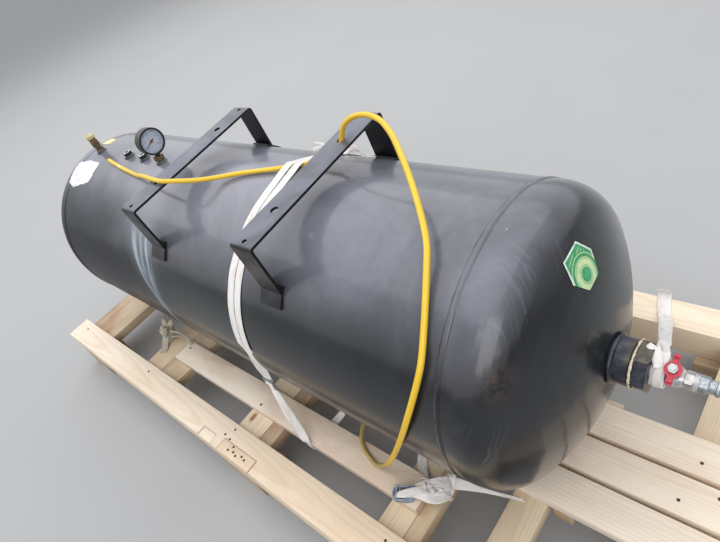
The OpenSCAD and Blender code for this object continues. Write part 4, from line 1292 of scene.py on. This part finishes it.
KNOT_ENDS = (
    # Two ears that stand up out of the knot.
    ((-505, -208, 162, 8, 5, 0), (-506, -205, 173, 8, 5, 0),
     (-508, -202, 182, 7.4, 4.8, 1), (-511, -199, 190, 5, 3.2, 1)),
    ((-493, -203, 162, 8, 5, 0), (-488, -199, 172, 7.4, 4, 0),
     (-483, -193, 181, 6.4, 3.6, 0), (-477, -188, 189, 3.8, 2, 1)),
    # Small loop at the knot's left.
    ((-512, -209, 167, 2, 2, 3), (-523, -213, 165, 2, 2, 3),
     (-532, -218, 158, 2.4, 2, 3), (-534, -222, 151, 2.4, 2, 3),
     (-528, -225, 145, 3, 2, 2), (-516, -221, 144, 4, 2, 1)),
    # Band that hangs to the bearer, towards the viewer.
    ((-507, -212, 153, 8, 5.5, -1), (-505, -223, 145, 9, 5.4, -1),
     (-500, -235, 134.5, 10.4, 5, -1), (-493, -247, 126.5, 11.4, 4.6, 0),
     (-486, -257, 123.8, 12, 4.6, 0), (-481, -265, 123.3, 12, 4.6, 0)),
    # Twisted end that lies on the outer board.
    ((-492, -210, 152, 0, 3, 5), (-479, -207, 157, 0, 1.4, 5),
     (-465, -202, 157, 0.4, 1, 4), (-444, -198, 152, 0.4, 2, 3.4),
     (-419, -198, 147.6, 1, 3, 2), (-399, -201, 145.6, 1, 4, 1),
     (-377, -206, 145.2, 2, 4, 0)),
    # Turned-over edge in front of it.
    ((-478, -214, 150, 1, 1, 2.6), (-464, -219, 151, 1, 1, 2.2),
     (-455, -213, 152, 1, 1, 2), (-443, -205, 150.5, 1, 1, 2),
     (-424, -201, 147.6, 1, 2, 1)))


def tie_knot():
    """Soiled knot on the second bearer, its end laid on the board."""
    dice = random.Random(31)
    pieces = [crumple((-506, -211, 151), (6.8, 5.6, 7.4), 9.6, 18, dice),
              crumple((-502, -206, 164), (6.2, 5.0, 6.4), 9.0, 15, dice),
              crumple((-498, -208, 158), (5.0, 4.2, 6.0), 8.0, 13, dice)]
    pieces += [ribbon(knots, ripple=0.0014, seed=k)
               for k, knots in enumerate(KNOT_ENDS, 1)]
    pieces += fray((-511, -199, 190), (-0.3, 0.3, 1), (5, 3, 1), dice, 6, 6)
    pieces += fray((-477, -188, 189), (0.2, 0.4, 1), (4, 2, 1), dice, 5, 6)
    return pieces


TENSIONER_FOLDS = (
    # From the frame's left bar along its lower half.
    ((434, -256.4, 148, -2.2, 4.2, 0), (432, -257.6, 153.4, -2.2, 4.4, 0),
     (436, -255.4, 157.2, -2.6, 5.4, 0), (446, -248.6, 158.2, -3.6, 7.2, 0.4),
     (456, -241, 158.2, -4.2, 8.6, 1), (468, -231, 157, -4.2, 8.8, 2.4),
     (482, -219, 155.5, -4, 9, 2.4), (496, -208, 151, -5, 8.6, 0),
     (505, -200, 143, -6, 8.2, 0), (508, -197, 134, -6, 7.4, 0)),
    # Upper fold, a flat fan towards the tank.
    ((454, -230, 151, -4, 7, 2), (467, -220, 154, -5.4, 9, 3),
     (481, -208, 155, -6.4, 10, 3), (493, -197.6, 153, -7, 11.4, 1),
     (502, -189.6, 150, -7.4, 11.4, 0), (506, -186, 145, -7.4, 10, 0)),
    # Lower corner that hangs off the end of the board.
    ((462, -238, 156, 3, 7, 2), (474, -234, 158, 1, 9, 2),
     (487, -231, 156, -3, 10, 1), (498, -225, 151.6, -5, 9.6, 0),
     (506, -217, 147.4, -5, 7.4, 0), (510, -211, 144.6, -5, 5.4, 0)),
    # Strand that runs over the bearer and in under the tank.
    ((474, -212, 155, 6, -5, 2), (462, -206, 148, 8, -4, 2),
     (449, -198, 139.6, 9, 1, 2), (438, -188, 131, 9.4, 2, 1),
     (427, -176, 125.4, 9.6, 2, 0), (416, -162, 123.6, 9.6, 2, 0),
     (407, -148, 121, 9.4, 2, 0), (401, -138, 112, 9.2, 2, 0),
     (398, -132, 98, 9, 2, 0)),
    # Upright fold beside the tank.
    ((493, -166, 127, 6, 4, 0), (494, -167, 139, 7, 4.4, 0),
     (498, -172, 147.4, 7, 4.8, 0), (503, -181, 147, 7, 5, 0),
     (506, -190, 142, 6.8, 4.8, 0), (507, -198, 134, 6, 4, 0),
     (504, -204, 126, 5, 3.4, 0)),
    # Long end that tapers to the right.
    ((502, -184, 146, -2, 9, 4), (514, -178, 139.6, -2.6, 9.4, 3.4),
     (530, -171, 134, -2.6, 6.8, 3.4), (550, -164, 129.8, -2, 4.4, 2.4),
     (572, -157, 127, -1, 3, 1.6), (598, -149, 125, -1, 2.4, 1),
     (622, -142, 124, -1, 2, 0.6)))


def pull_tensioner():
    """Webbing over the tensioner's frame, bunched at the board's end."""
    dice = random.Random(47)
    pieces = [ribbon(knots, ripple=0.0013, seed=k)
              for k, knots in enumerate(TENSIONER_FOLDS, 1)]
    pieces += [crumple((478, -219, 154), (5.4, 4.4, 2.6), 8.2, 14, dice),
               crumple((494, -210, 147), (4.4, 3.8, 3.2), 7.4, 12, dice)]
    pieces += fray((510, -211, 144.6), (0.5, 0.5, -0.2), (-5, 7, 0), dice,
                   9, 12)
    pieces += fray((622, -142, 124.2), (1, 0.2, 0.05), (-1, 2, 0.6), dice,
                   4, 6)
    return pieces


TENSIONER_AT = (0.4398, -0.2478, DECK_Z + 0.0056)
TENSIONER_TURN = 27


def make_tensioner():
    """Rounded open frame with a floor plate and bars, on the outer board."""
    rim = block("rim", (-0.022, -0.015, -0.005), (0.022, 0.015, 0.005))
    edit(rim, "EDGE")
    choose(rim, lambda e: abs((e.verts[0].co - e.verts[1].co).z) > 0.005,
           "edges")
    bpy.ops.mesh.bevel(offset=0.012, segments=6, affect="EDGES")
    bpy.ops.mesh.select_mode(type="FACE")
    choose(rim, lambda f: abs(f.normal.z) > 0.9)
    bpy.ops.mesh.inset(thickness=0.0036)
    bpy.ops.mesh.bridge_edge_loops()
    leave()
    parts = [rim]
    # Floor plate, cross bar and two lugs, by middle and size.
    for middle, size in (
            ((0.001, 0, -0.0040), (0.037, 0.024, 0.0016)),
            ((-0.0145, 0, 0.0040), (0.0040, 0.0225, 0.0016)),
            ((0.015, -0.0118, 0.0066), (0.015, 0.0020, 0.008)),
            ((0.015, 0.0118, 0.0066), (0.015, 0.0020, 0.008))):
        half = Vector(size) / 2
        plate = block("plate", Vector(middle) - half, Vector(middle) + half)
        edit(plate, "EDGE", "SELECT")
        bpy.ops.mesh.bevel(offset=0.0005, segments=2, affect="EDGES")
        leave()
        parts.append(plate)
    for x, r in ((-0.0088, 0.0018), (0.0125, 0.0030)):
        bar = rod("bar", r, 0.0262, (x, 0, 0.0012), 16, 90)
        edit(bar)
        choose(bar, lambda f: abs(f.normal.y) > 0.9)
        bpy.ops.mesh.inset(thickness=r * 0.3)
        leave()
        parts.append(bar)
    o = join("tensioner", parts)
    bevel = o.modifiers.new("edges", "BEVEL")
    bevel.width = 0.0008
    bevel.segments = 2
    bevel.limit_method = "ANGLE"
    bevel.angle_limit = math.radians(50)
    apply_all(o)
    o.rotation_euler = (0, 0, math.radians(TENSIONER_TURN))
    o.location = TENSIONER_AT
    settle("tensioner", o)
    smooth(o, 40)
    return o


# Along X from the hexagon's end, radius, lean and half width of each turn.
NECK_TURNS = ((8.6, 17.6, 1.2, 7.4), (9.6, 19.4, -2.0, 7.8),
              (8.4, 21.0, 2.4, 7.2), (10.6, 20.6, -1.2, 7.6))
# From the neck's own middle: a pulled corner, a small loop on the
# hexagon's far side, and the start of the lead.
NECK_LOOPS = (
    ((10, -10, 20, 6, 2, 0), (7, -3, 24, 6, 3, 1), (2, 4, 29, 5, 4, 2),
     (-4, 9, 33, 3.6, 4, 2), (-10, 12, 36, 2, 2.6, 2)),
    ((10, 4, 22, 4, 3, 1), (3, 10, 29, 3, 3, 2), (-1, 17, 33, 2, 3, 3),
     (2, 23, 32, 2, 3, 3), (8, 24, 26, 3, 3, 2), (11, 18, 20, 4, 3, 0)))
LEAD_START = ((10.5, -8, 21, 7.4, 1, 0), (11, 4, 23, 7.4, 2, 0),
              (10, 16, 22, 6.6, 2, 0))
LEAD = [(785, 46, 418, 6.8, 3, 0), (779, 74, 390, 8.0, 3, 0),
        (768, 112, 357, 9, 1, 2), (755, 160, 315, 10, -2, 3),
        (741, 212, 270, 11, -1, 2), (726, 262, 222, 11.4, 1, 1),
        (713, 305, 178, 12, 1, 0), (706, 328, 155, 12.4, 0, 0),
        (701, 343, 146.4, 12.6, 0, 0), (695, 362, 145, 13, 0, 0),
        (689, 383, 145, 13, 0.6, 0), (687, 391, 147, 13, 1, 0),
        (686, 394, 152, 12.6, 0, 1), (685, 392, 156.5, 12, 0, 2)]


def wrap_valve():
    """Webbing wound round the valve's neck and led to the far timber."""
    dice = random.Random(63)
    y0, z0 = TANK_Y * MM, OUTLET_Z * MM
    pieces = []
    for turn, (x, r, lean, half) in enumerate(NECK_TURNS):
        knots = []
        for k in range(27):
            a = math.radians(k * 14.4 + turn * 70)
            swell = r + 0.9 * math.sin(a * 2 + turn)
            knots.append((HEX_X + x + lean * math.sin(a + turn),
                          y0 - swell * math.sin(a), z0 + swell * math.cos(a),
                          half, 0.8 * math.cos(a + turn), 0.8))
        pieces.append(ribbon(knots, 3, 0.0018, 0.0009, turn * 5))

    def at_neck(rows):
        return [(HEX_X + x, y0 + y, z0 + z, *half)
                for x, y, z, *half in rows]

    for loop in NECK_LOOPS:
        pieces.append(ribbon(at_neck(loop), ripple=0.0008,
                             seed=dice.uniform(0, 9)))
    pieces.append(ribbon(at_neck(LEAD_START) + LEAD, ripple=0.001, seed=4))
    return pieces + fray((685, 392, 156.5), (-0.1, -0.3, 1), (12, 0, 1.6),
                         dice, 11, 7)


SLACK = (
    # Fan that stands up behind the bracket.
    ((140, 161, 595, 3, 4, 2), (150, 164, 602, 3, 4, 5),
     (162, 166, 611, 3, 3, 7), (176, 166, 615, 3, 2, 6),
     (190, 165, 613, 3, 1, 3), (199, 164, 609, 2, 1, 2),
     (203, 161, 603, 2, 1, 1.4)),
    # Low strand that leaves the shell and comes back to it.
    ((122, 158, 590, 1, 3, 1.6), (140, 162, 597, 1, 2.6, 1.6),
     (160, 165, 602, 1, 2, 1.6), (180, 166, 606, 1, 1.6, 1.6),
     (196, 165, 609, 1, 1.6, 1.6), (205, 163, 606, 1, 2, 1),
     (213, 164, 601.4, 1, 2.6, 0.6), (224, 164, 600, 0.6, 2.6, 0),
     (236, 164, 599.6, 0.4, 2, 0)),
    # Two short spurs to the bracket's left.
    ((136, 158, 600, 1, 2, 2), (120, 161, 606, 1, 2, 2),
     (104, 163, 611, 1, 2, 2), (92, 166, 615, 1, 2, 2),
     (78, 167, 617, 0.6, 1.6, 1.4), (64, 166, 618, 0, 1, 1)),
    ((134, 156, 600, 1, 2, 2), (117, 160, 604, 1, 2, 2),
     (100, 162, 607, 1, 2, 2), (84, 165, 609, 1, 2, 2),
     (68, 166, 605, 1, 2, 2), (55, 164, 601, 0, 2, 1.4),
     (62, 160, 598, 0, 2, 1), (76, 158, 598, 0, 2, 1)))


def build_lashings():
    pair = [strand(-1), strand(1)]
    pair += [ribbon(knots, 6, 0.0010, 0.0006, k * 2)
             for k, knots in enumerate(SLACK)]
    for name, pieces, finish_of, node in (
            ("strap_strands", pair, webbing, "strap_pair"),
            ("strap_loose_end", [hang_tail()], webbing, "strap_tail"),
            ("strap_knotted", tie_knot(), soiled_webbing, "strap_knot"),
            ("strap_at_tensioner", pull_tensioner(), webbing,
             "ratchet_strap")):
        dress(join(name, pieces), finish_of, replaces=[node])
    dress(make_tensioner(), painted_zinc,
          replaces=["ratchet_frame"])
    dress(join("strap_on_valve", wrap_valve()), webbing,
          replaces=["valve_strap"])


build_lashings()


# Sealant, plain labels and the dial's numbers.

def squeeze_sealant():
    """Uneven bead of thread sealant between socket and reducer."""
    middle = Vector((SOCKET_END, TANK_Y, OUTLET_Z))
    deselect()
    bpy.ops.mesh.primitive_torus_add(
        major_radius=0.0352, minor_radius=0.0017, major_segments=120,
        minor_segments=8, location=middle,
        rotation=(0, math.radians(90), 0))
    o = settle("thread_sealant")
    for v in o.data.vertices:
        out = (v.co - middle).normalized()
        lump = noise.noise(out * 5 + Vector((3, 1, 4)))
        v.co += out * (0.0008 + 0.0016 * lump)
        v.co.x += 0.0011 * noise.noise(out * 9)
    smooth(o, 60)
    dress(o, sealant)


PAPER_T = 0.0003


def cut_label(name, corners, lay, finish_of, seed, ragged=0.0):
    """A thin label cut to corners and laid on the tank."""
    deselect()
    bpy.ops.mesh.primitive_circle_add(vertices=72, radius=1,
                                      fill_type="NGON")
    o = settle(name)
    edit(o, action="SELECT")
    for _ in range(5):
        bpy.ops.mesh.inset(thickness=0.16)
    leave()
    sheet = o.data.attributes.new("sheet", "FLOAT_VECTOR", "POINT")
    corners = [Vector(c) for c in corners]
    count = len(corners)
    middle = sum(corners, Vector()) / count
    for i, v in enumerate(o.data.vertices):
        sheet.data[i].vector = v.co
        r = v.co.length
        t = (math.atan2(v.co.y, v.co.x) / math.tau) % 1 * count
        k = int(t) % count
        rim = corners[k].lerp(corners[(k + 1) % count], t - int(t))
        torn = 1 - ragged * abs(noise.noise(Vector((t * 3, seed, 0))))
        v.co = lay(middle + (rim - middle) * r * torn)
    solid = o.modifiers.new("paper", "SOLIDIFY")
    solid.thickness = PAPER_T
    solid.offset = 1.0
    apply_all(o)
    edit(o, action="SELECT")
    bpy.ops.mesh.normals_make_consistent(inside=False)
    leave()
    smooth(o, 50)
    dress(o, finish_of)


def on_shell(at):
    """Place of a label on the shell, raised where it crosses the weld."""
    x, arc = at.x, at.y
    rise = 0.0004 + 0.0018 * math.exp(-((x - LEFT_SEAM) / 0.006) ** 2)
    r = TANK_R
    if x < LEFT_SEAM:
        r -= 0.7 * (LEFT_SEAM - x) ** 2 / TANK_R
    return round_tank(x, math.degrees(arc / TANK_R), r + rise)


def on_head(at):
    centre = Vector((HEAD_CENTRE_X, TANK_Y, AXIS_Z))
    return centre + (at - centre).normalized() * (HEAD_CROWN_R + 0.0006)


def lay_labels():
    # On the shell by length and angle, on the head by its own place.
    for name, corners, finish_of, seed, ragged in (
            ("torn_label", (
                (-714.2, 16.6), (-716.0, 20.7), (-708.2, 30.9),
                (-666.5, 33.7), (-585.5, 28.0), (-582.5, 23.4),
                (-592.8, 13.5), (-658.2, 13.1)), label_white, 3, 0.16),
            ("yellow_label", (
                (-691.8, -1.9), (-708.7, -5.0), (-692.3, -10.2),
                (-672.2, -10.2), (-664.7, -4.1)), label_yellow, 8, 0.06)):
        cut_label(name, [(x / MM, math.radians(turn) * TANK_R, 0)
                         for x, turn in corners], on_shell, finish_of, seed,
                  ragged)
    cut_label("green_label", [
        (RIGHT_SEAM + x / MM, TANK_Y + y / MM, AXIS_Z + z / MM)
        for x, y, z in ((117, -7, 147), (116, 26, 149), (102, 39, 177),
                        (89, 22, 202), (91, -19, 200), (106, -27, 172))],
        on_head, label_green, 1)


NUMBERS_R = 0.0158


def print_numbers():
    """Plain numbers round the dial."""
    numbers = []
    for k in range(5):
        turn = math.radians(-DIAL_SWEEP + DIAL_SWEEP / 2 * k)
        deselect()
        bpy.ops.object.text_add()
        o = bpy.context.object
        o.data.body = str(4 * k)
        o.data.size = 0.0052
        o.data.align_x = o.data.align_y = "CENTER"
        bpy.ops.object.convert(target="MESH")
        o.rotation_euler = (math.radians(90), 0, math.radians(90))
        o.location = (DIAL_FRONT + 0.00012,
                      DIAL_AT.y + NUMBERS_R * math.sin(turn),
                      DIAL_AT.z + NUMBERS_R * math.cos(turn))
        numbers.append(settle("number", o))
    dress(join("dial_numbers", numbers), print_ink)


squeeze_sealant()
lay_labels()
print_numbers()


# Floor, backdrop and light.

def light(name, at, target, size, power):
    data = bpy.data.lights.new(name, "AREA")
    data.shape = "RECTANGLE"
    data.size, data.size_y = size
    data.energy = power
    o = bpy.data.objects.new(name, data)
    o.location = at
    aim = Vector(target) - Vector(at)
    o.rotation_euler = aim.to_track_quat("-Z", "Y").to_euler()
    bpy.context.scene.collection.objects.link(o)


def build_studio():
    deselect()
    bpy.ops.mesh.primitive_plane_add(size=400, location=(0, 0, -0.0006))
    floor = settle("floor")
    g, material = finish("pale_floor")
    shade(g, material, Roughness=0.9, Base_Color=g.mix(
        g.noise(g.place(), 2), (0.38, 0.38, 0.38, 1), (0.41, 0.41, 0.41, 1)))
    floor.data.materials.append(material)
    world = bpy.data.worlds.new("studio")
    bpy.context.scene.world = world
    world.use_nodes = True
    world.node_tree.nodes.clear()
    g = Nodes(world.node_tree)
    camera, glossy, through = (
        g.wire("LightPath", {}, "Is %s Ray" % ray)
        for ray in ("Camera", "Glossy", "Transmission"))
    seen = g.math("ADD", camera + glossy, through, clamp=True)
    glow = g.wire("Background", {"Color": (0.92, 0.95, 1, 1),
                                 "Strength": 0.72})
    back = g.wire("Background", {"Color": (1, 1, 1, 1), "Strength": 1})
    g.add("ShaderNodeOutputWorld", {"Surface": g.wire(
        "MixShader", {0: seen, 1: glow, 2: back})})
    light("sky_panel", (-2.0, 1.2, 3.3), (-2.0, 1.2, 0), (9.0, 7.0), 236)
    light("side_panel", (2.6, -2.2, 2.2), (0.2, 0, 0.3), (2.0, 2.0), 34)
    bpy.context.scene.view_settings.view_transform = "Standard"


build_studio()
